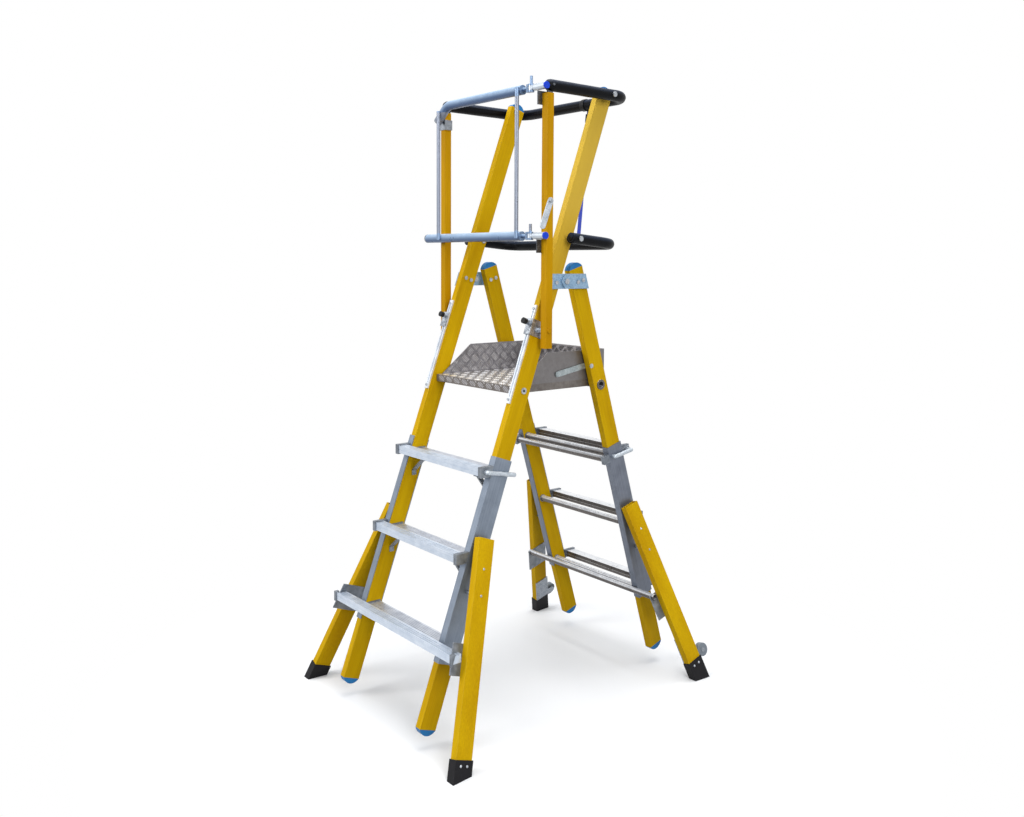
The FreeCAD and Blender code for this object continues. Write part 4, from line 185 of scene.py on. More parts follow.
dress(injection_moulded("polypropylene_moulded_sky_blue", "#1F68A8", "#3288C8", 0.42),
      "front_stile_caps", "rear_stile_caps")
dress(injection_moulded("polythene_moulded_royal_blue", "#0C34BC", "#164CDC", 0.3), "stub_plugs")
dress(injection_moulded("nylon_moulded_navy", "#14203C", "#22345C", 0.4), "platform_saddles")
black_nylon = injection_moulded("nylon_moulded_black", "#0C0D0F", "#1B1C1F", 0.35)
dress(black_nylon, "plunger_left", "plunger_right", "mid_rail_tube")


# ---------------------------------------------------------------- channels, tracks and gate tube
# Aluminium pressed through a die, which leaves fine lines along its length, then anodised satin. The
# lines are drawn 1.5 mm apart, to show. The channels are grey, the tracks nearly white, and the
# gate's tube is pale blue.
def painted_shade_below(tree, skin, colour, high, low, most):
    """Painted shade: mixes a duller colour in where a face looks down rather than up."""
    face = add(tree, "ShaderNodeNewGeometry").outputs["Normal"]
    rise = add(tree, "ShaderNodeSeparateXYZ", {"Vector": face}).outputs["Z"]
    share = add(tree, "ShaderNodeMapRange",
                {"Value": rise, "From Min": high, "From Max": low, "To Max": most}).outputs[0]
    return add(tree, "ShaderNodeMix", {0: share, 6: skin, 7: linear(colour)},
               data_type="RGBA").outputs[2]


def extruded_anodised(name, turn, shade, light, rough, metal, rotation="X_AXIS", below=None):
    material, tree, shader = surface(name, {"Metallic": metal})
    place = add(tree, "ShaderNodeTexCoord").outputs["Object"]
    upright = add(tree, "ShaderNodeVectorRotate", {"Vector": place, "Angle": turn},
                  rotation_type=rotation).outputs[0]
    along = add(tree, "ShaderNodeMapping", {"Vector": upright, "Scale": (650, 650, 4)}).outputs[0]
    lines = add(tree, "ShaderNodeTexNoise",
                {"Vector": along, "Scale": 1.0, "Detail": 4.0, "Roughness": 0.65}).outputs[0]
    dull = add(tree, "ShaderNodeTexNoise", {"Vector": place, "Scale": 22.0, "Detail": 5.0}).outputs[0]
    both = add(tree, "ShaderNodeMix", {"Factor": 0.45, "A": lines, "B": dull}).outputs[0]
    spread = add(tree, "ShaderNodeMapRange", {"Value": both, "From Min": 0.35, "From Max": 0.65})
    skin = add(tree, "ShaderNodeMix", {0: spread.outputs[0], 6: linear(shade), 7: linear(light)},
               data_type="RGBA").outputs[2]
    # A colour given as below is painted shade on faces that look down.
    if below:
        skin = painted_shade_below(tree, skin, below, 0.9, -0.5, 1.0)
    tree.links.new(skin, shader["Base Color"])
    corner = add(tree, "ShaderNodeBevel", {"Radius": 0.0008}, samples=4).outputs[0]
    gloss_and_relief(tree, shader, dull, rough - 0.1, rough + 0.14, lines, 0.00005, corner)
    return material


dress(extruded_anodised("aluminium_anodised_front", FRONT_LEAN, "#707A88", "#8E98A6", 0.46, 0.8),
      "front_channels", "top_rail_tube")
dress(extruded_anodised("aluminium_anodised_rear", -REAR_LEAN, "#666C78", "#828894", 0.46, 0.8),
      "rear_channels")
dress(extruded_anodised("aluminium_anodised_track", FRONT_LEAN, "#C9CFD8", "#EEF2F7", 0.4, 0.45),
      "guide_tracks")
# The tube's undersides are painted dark blue, as painted shade.
gate_tube = extruded_anodised("aluminium_drawn_gate_tube", math.pi / 2, "#9DBBDC", "#C0D8F0", 0.28,
                              0.4, "Y_AXIS", "#4A6288")
dress(gate_tube, "gate_frame")


def stain(material, share, colour):
    """Mixes a colour over a finished material's skin, as far as the share says."""
    tree = material.node_tree
    base = tree.nodes["Principled BSDF"].inputs["Base Color"]
    skin = base.links[0].from_socket
    stained = add(tree, "ShaderNodeMix", {0: share, 6: skin, 7: linear(colour)}, data_type="RGBA")
    tree.links.new(stained.outputs[2], base)


# The gate's two uprights, between its rails, are plain grey tube that was not dyed.
LOWER_RAIL_BAND = 0.034
UPPER_RAIL_BAND = 0.062
tree = gate_tube.node_tree
gate_low, gate_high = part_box("gate_frame")
height = add(tree, "ShaderNodeSeparateXYZ",
             {"Vector": add(tree, "ShaderNodeTexCoord").outputs["Object"]}).outputs["Z"]
above = add(tree, "ShaderNodeMath", {0: height, 1: gate_low[2] + LOWER_RAIL_BAND},
            operation="GREATER_THAN").outputs[0]
under = add(tree, "ShaderNodeMath", {0: height, 1: gate_high[2] - UPPER_RAIL_BAND},
            operation="LESS_THAN").outputs[0]
between = add(tree, "ShaderNodeMath", {0: above, 1: under}, operation="MULTIPLY").outputs[0]
stain(gate_tube, between, "#868D9C")
dress(extruded_anodised("aluminium_drawn_stub_tube", math.pi / 2, "#A9B4C0", "#D5DCE4", 0.36, 0.7,
                        "Y_AXIS"), "gate_stubs")


# ---------------------------------------------------------------- sockets and fittings
# The treads' sockets, the rungs' collars and the outer frames' fittings are gravity-die castings in
# aluminium. Die wash leaves a 1.4 mm grain on the dull grey skin; the corners are painted paler, as
# a painted highlight.
CAST_GRAINS_PER_METRE = 714.0


def die_cast(name, shade, light, bright):
    material, tree, shader = surface(name, {"Metallic": 0.75})
    place = add(tree, "ShaderNodeTexCoord").outputs["Object"]
    cloud = add(tree, "ShaderNodeTexNoise", {"Vector": place, "Scale": 38.0, "Detail": 6.0}).outputs[0]
    spread = add(tree, "ShaderNodeMapRange", {"Value": cloud, "From Min": 0.34, "From Max": 0.66})
    skin = add(tree, "ShaderNodeMix", {0: spread.outputs[0], 6: linear(shade), 7: linear(light)},
               data_type="RGBA").outputs[2]
    corner = add(tree, "ShaderNodeBevel", {"Radius": 0.0015}, samples=4).outputs[0]
    # Painted highlight: the corners are mixed paler.
    skin = painted_corner_highlight(tree, skin, corner, bright, 0.99, 0.6)
    tree.links.new(skin, shader["Base Color"])
    grain = add(tree, "ShaderNodeTexNoise",
                {"Vector": place, "Scale": CAST_GRAINS_PER_METRE, "Detail": 3.0}).outputs[0]
    gloss_and_relief(tree, shader, grain, 0.4, 0.62, grain, 0.0001, corner)
    return material


dress(die_cast("aluminium_die_cast_grey", "#6A7078", "#8F959D", "#B9BFC6"),
      "front_tread_sockets", "rear_rung_collars", "front_outer_fittings", "rear_outer_fittings")


# ---------------------------------------------------------------- treads, rungs and base step
# Box treads of extruded aluminium left in mill finish. The front ones have anti-slip ribs on top, the
# rear ones are plain, and all have grooves in the front face. The bottoms between the ribs are
# painted dark, as painted shade.
RIB_DEPTH = 0.0024
RIB_TOP_SHARE = 0.56
RIB_FOOT_SHARE = 0.62
NEXT_FOOT_SHARE = 0.94
GROOVE_DEPTH = 0.0008
GROOVE_HALF = 0.0012
GROOVE_DROP = 0.001


def mill_finish(name, shade, light, rough, metal=0.7, shade_below=None):
    material, tree, shader = surface(name, {"Metallic": metal})
    place = add(tree, "ShaderNodeTexCoord").outputs["Object"]
    along = add(tree, "ShaderNodeMapping", {"Vector": place, "Scale": (4, 650, 650)}).outputs[0]
    lines = add(tree, "ShaderNodeTexNoise",
                {"Vector": along, "Scale": 1.0, "Detail": 4.0, "Roughness": 0.6}).outputs[0]
    scuffs = add(tree, "ShaderNodeTexNoise", {"Vector": place, "Scale": 30.0, "Detail": 6.0}).outputs[0]
    both = add(tree, "ShaderNodeMix", {"Factor": 0.5, "A": lines, "B": scuffs}).outputs[0]
    spread = add(tree, "ShaderNodeMapRange", {"Value": both, "From Min": 0.35, "From Max": 0.65})
    skin = add(tree, "ShaderNodeMix", {0: spread.outputs[0], 6: linear(shade), 7: linear(light)},
               data_type="RGBA").outputs[2]
    # Painted shade: faces that look down or aside get the given colour.
    if shade_below:
        skin = painted_shade_below(tree, skin, shade_below, 0.62, 0.25, 0.9)
    tree.links.new(skin, shader["Base Color"])
    corner = add(tree, "ShaderNodeBevel", {"Radius": 0.0006}, samples=4).outputs[0]
    gloss_and_relief(tree, shader, scuffs, rough - 0.08, rough + 0.16, lines, 0.00005, corner)
    return material


rib_metal = mill_finish("aluminium_extruded_mill", "#BCC2CE", "#E6EAF2", 0.3)
# Painted shade for the bottoms between the ribs.
groove_painted_shade = mill_finish("aluminium_groove_bottom_painted_shade", "#2E2823", "#4C443C", 0.6, 0.3)
step_metal = mill_finish("aluminium_extruded_pale", "#BCC9DA", "#DFE7F2", 0.32, 0.5)
# The rear outer treads are near white, with painted dark brown shade on their front and lower faces.
treads_shaded_below = mill_finish("aluminium_extruded_shaded_below", "#D4D7DC", "#F6F7F9", 0.26, 0.5, "#463C34")


def ribbed_outline(depth, height, ribs, grooves):
    """The section's outline in Y and Z, and whether each side of it is the bottom between ribs."""
    points, dark = [(0.0, 0.0)], []
    step = height / (grooves + 1)
    for index in range(grooves):
        middle = step * (index + 1) - GROOVE_DROP
        points += [(0.0, middle - GROOVE_HALF), (GROOVE_DEPTH, middle - GROOVE_HALF / 2),
                   (GROOVE_DEPTH, middle + GROOVE_HALF / 2), (0.0, middle + GROOVE_HALF)]
        dark += [False, False, False, False]
    pitch = depth / ribs
    points.append((0.0, height))
    dark.append(False)
    for index in range(ribs):
        start = index * pitch
        points.append((start + RIB_TOP_SHARE * pitch, height))
        dark.append(False)
        if index < ribs - 1:
            points += [(start + RIB_FOOT_SHARE * pitch, height - RIB_DEPTH),
                       (start + NEXT_FOOT_SHARE * pitch, height - RIB_DEPTH),
                       (start + pitch, height)]
            dark += [False, True, False]
    points += [(depth, height), (depth, 0.0)]
    dark += [False, False, False]
    return points, dark


def shells(node):
    """The lowest and highest corner of each solid in a node, without the inner skins of hollow ones."""
    mesh = frame["nodes"][node].data
    parent = {}

    def root(key):
        while parent.setdefault(key, key) != key:
            parent[key] = parent[parent[key]]
            key = parent[key]
        return key

    keys = [tuple(round(c, 5) for c in vertex.co) for vertex in mesh.vertices]
    for polygon in mesh.polygons:
        first = root(keys[polygon.vertices[0]])
        for index in polygon.vertices[1:]:
            parent[root(keys[index])] = first
    boxes = {}
    for key in keys:
        low, high = boxes.setdefault(root(key), ([9.0] * 3, [-9.0] * 3))
        for axis in range(3):
            low[axis] = min(low[axis], key[axis])
            high[axis] = max(high[axis], key[axis])
    found = sorted(boxes.values())
    return [b for b in found if not any(
        other is not b and all(other[0][k] <= b[0][k] + 1e-6 and b[1][k] <= other[1][k] + 1e-6
                               for k in range(3)) for other in found)]


def build(name, points, faces, materials, smooth=False, indices=None):
    """A mesh object in world coordinates."""
    mesh = bpy.data.meshes.new(name)
    mesh.from_pydata(points, [], faces)
    for material in materials:
        mesh.materials.append(material)
    if indices:
        mesh.polygons.foreach_set("material_index", indices)
    mesh.polygons.foreach_set("use_smooth", [smooth] * len(mesh.polygons))
    made = bpy.data.objects.new(name, mesh)
    bpy.context.collection.objects.link(made)
    return made


for node, body, ribs, grooves, metal in (
        ("front_treads", "front_frame", 7, 2, rib_metal),
        ("rear_outer_treads", "rear_outer_frame", 1, 1, treads_shaded_below),
        ("front_outer_rungs", "front_outer_frame", 4, 1, step_metal),
        ("front_base_step", "front_outer_frame", 4, 1, step_metal)):
    for number, (low, high) in enumerate(shells(node)):
        outline, dark = ribbed_outline(high[1] - low[1], high[2] - low[2], ribs, grooves)
        count = len(outline)
        points = [(x, low[1] + across, low[2] + up) for x in (low[0], high[0])
                  for across, up in outline]
        faces = [[i, (i + 1) % count, count + (i + 1) % count, count + i] for i in range(count)]
        faces += [list(range(count))[::-1], list(range(count, 2 * count))]
        bar = build("%s_ribbed_%d" % (node, number), points, [face[::-1] for face in faces],
                    [metal, groove_painted_shade], indices=[int(d) for d in dark] + [0, 0])
        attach(bar, body)
        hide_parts(node)

# The rear frames' round rungs and the tube under the platform are drawn tube. Their sides and
# undersides are painted dark brown, as painted shade.
dress(mill_finish("aluminium_drawn_bright_shaded_below", "#C4C8D0", "#F2F4F8", 0.22, 0.5, "#463C34"),
      "rear_rungs", "rear_outer_rungs", "platform_rest_tube")


# ---------------------------------------------------------------- platform
# Deck and toe boards are folded from rolled aluminium tread plate, sheared through the pattern. Five
# short bars lie side by side and the next five across them. Shoes keep the deck's crests bright, and
# they are painted near white besides, as a painted glare.
BAR_CELL = 0.033
BAR_SPACING = BAR_CELL / 5.3
BAR_LENGTH = 0.027
OUTER_BAR_SHARE = 0.86
BAR_WIDTH = 0.0036
BAR_RISE = 0.0009
SHORTEST_BAR = 0.005
DECK_SHEET = 0.003
PLAIN_EDGE = 0.004
PLAIN_SIDE = 0.006
NOSE_MARGINS = (0.003, 0.002)
BOARD_SLOPE = 0.130


def rolled_tread_plate(name, shade, light, rough, shade_below=None):
    material, tree, shader = surface(name, {"Metallic": 0.8})
    place = add(tree, "ShaderNodeTexCoord").outputs["Object"]
    rolled = add(tree, "ShaderNodeMapping", {"Vector": place, "Scale": (300, 12, 12)}).outputs[0]
    lines = add(tree, "ShaderNodeTexNoise", {"Vector": rolled, "Scale": 1.0, "Detail": 4.0}).outputs[0]
    scuffs = add(tree, "ShaderNodeTexNoise",
                 {"Vector": place, "Scale": 60.0, "Detail": 8.0, "Roughness": 0.7}).outputs[0]
    both = add(tree, "ShaderNodeMix", {"Factor": 0.7, "A": lines, "B": scuffs}).outputs[0]
    spread = add(tree, "ShaderNodeMapRange", {"Value": both, "From Min": 0.36, "From Max": 0.64})
    skin = add(tree, "ShaderNodeMix", {0: spread.outputs[0], 6: linear(shade), 7: linear(light)},
               data_type="RGBA").outputs[2]
    # Painted shade: faces that look down or aside get the given colour.
    if shade_below:
        skin = painted_shade_below(tree, skin, shade_below, 0.6, 0.3, 0.6)
    tree.links.new(skin, shader["Base Color"])
    corner = add(tree, "ShaderNodeBevel", {"Radius": 0.0008}, samples=4).outputs[0]
    gloss_and_relief(tree, shader, scuffs, rough - 0.1, rough + 0.15, scuffs, 0.0001, corner)
    return material


board_plate = rolled_tread_plate("aluminium_tread_plate_dull", "#858387", "#ACAAAE", 0.42)
dress(board_plate, "toe_boards")
# The deck's nose and lower faces are painted dark brown, as painted shade.
dress(rolled_tread_plate("aluminium_tread_plate_shaded_below", "#837E7B", "#B2AEAB", 0.4, "#463D36"),
      "platform_deck")
board_crests = rolled_tread_plate("aluminium_tread_crests_scuffed", "#9E9C9F", "#C6C4C7", 0.34)
# The deck's crests are near white, partly from shoes and partly a painted glare.
deck_crests = rolled_tread_plate("aluminium_tread_crests_walked_glare", "#E4E4E6", "#FBFBFC", 0.26)


def sheared(middle, ahead, half, outline):
    """Where a bar starts and ends along its own line, once a convex outline's edges cut it short."""
    low, high = -half, half
    for (ax, ay), (bx, by) in zip(outline, outline[1:] + outline[:1]):
        here = (bx - ax) * (middle[1] - ay) - (by - ay) * (middle[0] - ax)
        slope = (bx - ax) * ahead[1] - (by - ay) * ahead[0]
        if abs(slope) < 1e-9:
            high = high if here > 0 else low
        elif slope > 0:
            low = max(low, -here / slope)
        else:
            high = min(high, -here / slope)
    return low, high


def tread_bars(name, origin, across, up, outline, material):
    """Raised bars on a flat face, whose outline is in the face's own two directions."""
    origin, across, up = Vector(origin), Vector(across), Vector(up)
    out = across.cross(up)
    points, faces = [], []
    wide = max(p[0] for p in outline)
    tall = max(p[1] for p in outline)
    reach = int((wide + tall) / BAR_CELL) + 2
    for row in range(-reach, reach):
        for column in range(-reach, reach):
            centre = ((row + column) * BAR_CELL * math.sqrt(0.5) + wide / 2,
                      (row - column) * BAR_CELL * math.sqrt(0.5) + tall / 2)
            turn = math.pi / 4 if row % 2 == column % 2 else -math.pi / 4
            ahead = (math.cos(turn), math.sin(turn))
            for place in (-2, -1, 0, 1, 2):
                shift = place * BAR_SPACING
                half = BAR_LENGTH / 2 * (OUTER_BAR_SHARE if abs(place) == 2 else 1.0)
                middle = (centre[0] - ahead[1] * shift, centre[1] + ahead[0] * shift)
                low, high = sheared(middle, ahead, half, outline)
                if high - low < SHORTEST_BAR:
                    continue
                middle = (middle[0] + ahead[0] * (low + high) / 2,
                          middle[1] + ahead[1] * (low + high) / 2)
                half = (high - low) / 2
                start = len(points)
                for run, side, rise in ((-1, 0, 0), (-0.62, 1, 0), (0.62, 1, 0), (1, 0, 0),
                                        (0.62, -1, 0), (-0.62, -1, 0), (-0.55, 0, 1), (0.55, 0, 1)):
                    u = middle[0] + ahead[0] * half * run - ahead[1] * BAR_WIDTH / 2 * side
                    w = middle[1] + ahead[1] * half * run + ahead[0] * BAR_WIDTH / 2 * side
                    points.append(origin + across * u + up * w + out * BAR_RISE * rise)
                faces += [[start + i for i in face] for face in
                          ((1, 6, 0), (2, 7, 6, 1), (3, 7, 2), (4, 7, 3), (5, 6, 7, 4), (0, 6, 5),
                           (0, 5, 4, 3, 2, 1)[::-1])]
    made = build(name, points, faces, [material])
    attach(made, "platform")


# The boards' outer sides are drawn darker.
deck_low, deck_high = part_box("platform_deck")
board_low, board_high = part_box("toe_boards")
tree = board_plate.node_tree
where = add(tree, "ShaderNodeSeparateXYZ",
            {"Vector": add(tree, "ShaderNodeTexCoord").outputs["Object"]}).outputs
aside = add(tree, "ShaderNodeMath", {0: where["X"]}, operation="ABSOLUTE").outputs[0]
aside = add(tree, "ShaderNodeMath", {0: aside, 1: board_high[0] - DECK_SHEET / 3},
            operation="GREATER_THAN").outputs[0]
behind = add(tree, "ShaderNodeMath", {0: where["Y"], 1: board_high[1] - DECK_SHEET / 3},
             operation="GREATER_THAN").outputs[0]
outer = add(tree, "ShaderNodeMath", {0: aside, 1: behind}, operation="MAXIMUM").outputs[0]
outer = add(tree, "ShaderNodeMath", {0: outer, 1: 0.7}, operation="MULTIPLY").outputs[0]
stain(board_plate, outer, "#66625F")

# Bars stand on the deck, down its folded nose, and on the boards' inner sides.
deck_wide = deck_high[0] - deck_low[0]
deck_long = deck_high[1] - deck_low[1]
board_long = board_high[1] - board_low[1]
board_tall = board_high[2] - board_low[2]
tread_bars("deck_bars", (deck_low[0], deck_low[1], deck_high[2]), (1, 0, 0), (0, 1, 0),
           [(PLAIN_SIDE, PLAIN_EDGE), (deck_wide - PLAIN_SIDE, PLAIN_EDGE),
            (deck_wide - PLAIN_SIDE, deck_long - PLAIN_SIDE), (PLAIN_SIDE, deck_long - PLAIN_SIDE)],
           deck_crests)
nose_tall = deck_high[2] - deck_low[2]
tread_bars("deck_nose_bars", (deck_low[0], deck_low[1], deck_low[2]), (1, 0, 0), (0, 0, 1),
           [(PLAIN_SIDE, NOSE_MARGINS[0]), (deck_wide - PLAIN_SIDE, NOSE_MARGINS[0]),
            (deck_wide - PLAIN_SIDE, nose_tall - NOSE_MARGINS[1]),
            (PLAIN_SIDE, nose_tall - NOSE_MARGINS[1])], board_crests)
slanted = [(PLAIN_EDGE * 3, PLAIN_EDGE), (board_long - PLAIN_EDGE, PLAIN_EDGE),
           (board_long - PLAIN_EDGE, board_tall - PLAIN_EDGE),
           (BOARD_SLOPE, board_tall - PLAIN_EDGE)]
tread_bars("left_board_bars", (board_low[0] + DECK_SHEET, board_low[1], board_low[2]),
           (0, 1, 0), (0, 0, 1), slanted, board_crests)
tread_bars("right_board_bars", (board_high[0] - DECK_SHEET, board_high[1], board_low[2]),
           (0, -1, 0), (0, 0, 1), [(board_long - u, w) for u, w in slanted[::-1]], board_crests)
tread_bars("rear_board_bars", (board_low[0], board_high[1] - DECK_SHEET, board_low[2]),
           (1, 0, 0), (0, 0, -1),
           [(PLAIN_EDGE * 2, PLAIN_EDGE - board_tall),
            (deck_wide - PLAIN_EDGE * 2, PLAIN_EDGE - board_tall),
            (deck_wide - PLAIN_EDGE * 2, -PLAIN_EDGE), (PLAIN_EDGE * 2, -PLAIN_EDGE)], board_crests)


# ---------------------------------------------------------------- steel plates, pins and bolts
# Hinge leaves, stays, lever, pins and bolts are mild steel, cut or turned and then barrel plated in
# zinc. The plating runs from pale blue to grey. Its frosting is finer than this spangle, which is
# drawn 4 mm across to show.
SPANGLE_MM = 4.0


def zinc_plated(name, shade, light, rough, metal=0.8):
    material, tree, shader = surface(name, {"Metallic": metal})
    place = add(tree, "ShaderNodeTexCoord").outputs["Object"]
    spangle = add(tree, "ShaderNodeTexVoronoi", {"Vector": place, "Scale": 1000 / SPANGLE_MM})
    cloud = add(tree, "ShaderNodeTexNoise", {"Vector": place, "Scale": 55.0, "Detail": 6.0}).outputs[0]
    both = add(tree, "ShaderNodeMix",
               {"Factor": 0.65, "A": spangle.outputs["Color"], "B": cloud}).outputs[0]
    spread = add(tree, "ShaderNodeMapRange", {"Value": both, "From Min": 0.3, "From Max": 0.7})
    skin = add(tree, "ShaderNodeMix", {0: spread.outputs[0], 6: linear(shade), 7: linear(light)},
               data_type="RGBA")
    tree.links.new(skin.outputs[2], shader["Base Color"])
    corner = add(tree, "ShaderNodeBevel", {"Radius": 0.0008}, samples=4).outputs[0]
    gloss_and_relief(tree, shader, cloud, rough - 0.1, rough + 0.14, cloud, 0.00008, corner)
    return material


dress(zinc_plated("steel_plate_zinc_pale_blue", "#7A9AB6", "#9FBDD6", 0.42, 0.5),
      "front_hinge_leaves", "rear_hinge_leaves")
dress(zinc_plated("steel_plate_zinc_white", "#A8B2BC", "#D4DBE2", 0.4, 0.6),
      "latch_lever", "front_lock_left", "front_lock_right", "rear_lock_left", "rear_lock_right")
dress(zinc_plated("steel_plate_zinc_grey", "#7C828A", "#A2A8B0", 0.4),
      "wheel_mounts", "catch_band", "gate_plugs")
dress(zinc_plated("steel_strip_zinc_bright", "#737A84", "#D0D6DE", 0.28, 0.75),
      "slider_left", "slider_right")
dress(zinc_plated("steel_strip_zinc_worn", "#8A9598", "#B4BDBF", 0.38, 0.6), "platform_stays")
dress(zinc_plated("steel_zinc_dark_passivated", "#404348", "#70747A", 0.4),
      "post_clamps", "post_tongue_left", "post_tongue_right")
bolt_zinc = zinc_plated("steel_bolts_zinc_bright", "#90959B", "#C6CBD0", 0.3)
dress(bolt_zinc, "front_frame_bolts", "rear_frame_bolts", "front_outer_bolts", "rear_outer_bolts")

# The lever turns on a bolt through the right post, and the bolt's head is plated like the others.
BOLT_HEAD_RADIUS = 0.0072
HEAD_SIDES = 24
swing = next(joint for joint in frame["record"]["behaviour"]["joints"]
             if joint["name"] == "latch_lever_swing")["pos_m"]
ring = [(swing[1] + BOLT_HEAD_RADIUS * math.cos(2 * math.pi * k / HEAD_SIDES),
         swing[2] + BOLT_HEAD_RADIUS * math.sin(2 * math.pi * k / HEAD_SIDES))
        for k in range(HEAD_SIDES)]
points = [(x, y, z) for x in (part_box("latch_lever")[1][0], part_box("post_right")[1][0] + 0.0001)
          for y, z in ring]
faces = [[k, (k + 1) % HEAD_SIDES, HEAD_SIDES + (k + 1) % HEAD_SIDES, HEAD_SIDES + k]
         for k in range(HEAD_SIDES)]
faces.append(list(range(HEAD_SIDES, 2 * HEAD_SIDES)))
head = build("lever_bolt_head", points, faces, [bolt_zinc])
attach(head, "post_right")


# ---------------------------------------------------------------- feet and wheels
# Boots pressed from natural rubber over each leg's end, and small cast polyurethane wheels. Rubber
# is nearly black with a 1.2 mm grain and the wheels are a light grey; both are painted paler grey
# along their edges, a painted highlight.
def moulded_rubber(name, shade, light, rim_highlight, grain_mm):
    material, tree, shader = surface(name, {"IOR": 1.52, "Specular IOR Level": 0.18})
    place = add(tree, "ShaderNodeTexCoord").outputs["Object"]
    cloud = add(tree, "ShaderNodeTexNoise", {"Vector": place, "Scale": 50.0, "Detail": 6.0}).outputs[0]
    skin = add(tree, "ShaderNodeMix", {0: cloud, 6: linear(shade), 7: linear(light)},
               data_type="RGBA").outputs[2]
    corner = add(tree, "ShaderNodeBevel", {"Radius": 0.003}, samples=4).outputs[0]
    # Painted highlight: the edges are mixed paler.
    skin = painted_corner_highlight(tree, skin, corner, rim_highlight, 0.98, 0.5)
    tree.links.new(skin, shader["Base Color"])
    grain = add(tree, "ShaderNodeTexNoise",
                {"Vector": place, "Scale": 1000 / grain_mm, "Detail": 3.0}).outputs[0]
    gloss_and_relief(tree, shader, grain, 0.38, 0.72, grain, 0.00018, corner)
    return material


dress(moulded_rubber("rubber_moulded_black", "#09080B", "#151418", "#28272B", 1.2),
      "front_feet", "rear_feet")
dress(moulded_rubber("polyurethane_cast_grey", "#6E757D", "#8F979F", "#A8AFB6", 1.0),
      "wheel_left", "wheel_right")


# ---------------------------------------------------------------- padded guard rails
# Each rail is a bent aluminium tube in a split sleeve of black nitrile foam, slid on and closed
# along its inner side. The skin has a low sheen. It is painted dark blue as a painted sheen, and near
# black on faces that look down, as painted shade. Its cells are drawn coarser than the real ones, to
# show.
RAIL_BEND = 0.062
TOP_SLEEVE_RADIUS = 0.020
MIDDLE_SLEEVE_RADIUS = 0.019
ARM_STEPS = 24
BEND_STEPS = 12
SLEEVE_SIDES = 40
SLIT_DEPTH = 0.0014
RIPPLE = 0.0005
RIPPLES_PER_METRE = 22
CELLS_PER_METRE = 450.0


def foam_sleeve():
    material, tree, shader = surface("nitrile_foam_extruded_black",
                                     {"IOR": 1.45, "Specular IOR Level": 0.12})
    place = add(tree, "ShaderNodeTexCoord").outputs["Object"]
    cloud = add(tree, "ShaderNodeTexNoise", {"Vector": place, "Scale": 16.0, "Detail": 5.0}).outputs[0]
    # Painted sheen: the skin is dark blue.
    skin = add(tree, "ShaderNodeMix", {0: cloud, 6: linear("#121C2C"), 7: linear("#1F2D44")},
               data_type="RGBA").outputs[2]
    # Painted shade: faces that look down are near black.
    skin = painted_shade_below(tree, skin, "#050506", 0.9, 0.1, 0.95)
    tree.links.new(skin, shader["Base Color"])
    gloss = add(tree, "ShaderNodeMapRange", {"Value": cloud, "To Min": 0.3, "To Max": 0.5})
    tree.links.new(gloss.outputs[0], shader["Roughness"])
    cells = add(tree, "ShaderNodeTexVoronoi", {"Vector": place, "Scale": CELLS_PER_METRE}).outputs[0]
    relief = add(tree, "ShaderNodeBump", {"Height": cells, "Distance": 0.00022})
    tree.links.new(relief.outputs[0], shader["Normal"])
    return material


nitrile = foam_sleeve()


def sleeve(node, body, radius, domed):
    """A tube of foam along the rail's U, from the left front end round the back to the right one."""
    low, high = (Vector(corner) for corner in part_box(node))
    half = high.x - radius
    lean = 0.0 if domed else math.asin((high.z - low.z - 2 * radius) / (high.y - low.y - radius))
    rear = Vector((0, high.y - radius, low.z + radius))
    slope = Vector((0, math.cos(lean), -math.sin(lean)))
    reach = (high.y - low.y - radius * (2 if domed else 1 + math.sin(lean))) / math.cos(lean)
    up = Vector((0, math.sin(lean), math.cos(lean)))
    path = []
    for side in (-1, 1):
        arm = [(side * half, -reach + (reach - RAIL_BEND) * k / ARM_STEPS) for k in range(ARM_STEPS)]
        for k in range(BEND_STEPS + 1):
            turn = math.pi / 2 * k / BEND_STEPS
            arm.append((side * (half - RAIL_BEND + RAIL_BEND * math.cos(turn)),
                        -RAIL_BEND + RAIL_BEND * math.sin(turn)))
        path += arm if side < 0 else arm[::-1]
    path = [rear + Vector((x, 0, 0)) + slope * y for x, y in path]
    rings = []
    for index, point in enumerate(path):
        ahead = path[min(index + 1, len(path) - 1)] - path[max(index - 1, 0)]
        ahead.normalize()
        rings.append((point, ahead, 1.0))
    if domed:
        for end, way in ((0, -1), (-1, 1)):
            point, ahead, _ = rings[end]
            caps = [(point + ahead * way * radius * math.sin(a), ahead, math.cos(a))
                    for a in (math.radians(25), math.radians(48), math.radians(68), math.radians(84))]
            rings = caps[::-1] + rings if end == 0 else rings + caps
    points, faces = [], []
    for number, (point, ahead, share) in enumerate(rings):
        out = up.cross(ahead)
        for step in range(SLEEVE_SIDES):
            turn = 2 * math.pi * step / SLEEVE_SIDES
            dent = SLIT_DEPTH if step == SLEEVE_SIDES // 2 else 0.0
            ripple = RIPPLE * (1 + noise.noise(point * RIPPLES_PER_METRE + Vector((turn, 0, 0))))
            size = (radius - 0.0001 - ripple) * share - dent * share
            points.append(point + out * size * math.cos(turn) + up * size * math.sin(turn))
        if number:
            first = (number - 1) * SLEEVE_SIDES
            faces += [[first + s, first + (s + 1) % SLEEVE_SIDES,
                       first + SLEEVE_SIDES + (s + 1) % SLEEVE_SIDES, first + SLEEVE_SIDES + s]
                      for s in range(SLEEVE_SIDES)]
    faces += [list(range(SLEEVE_SIDES))[::-1], list(range(len(points) - SLEEVE_SIDES, len(points)))]
    made = build(node + "_foam", points, faces, [nitrile], smooth=True)
    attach(made, body)
    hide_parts(node)


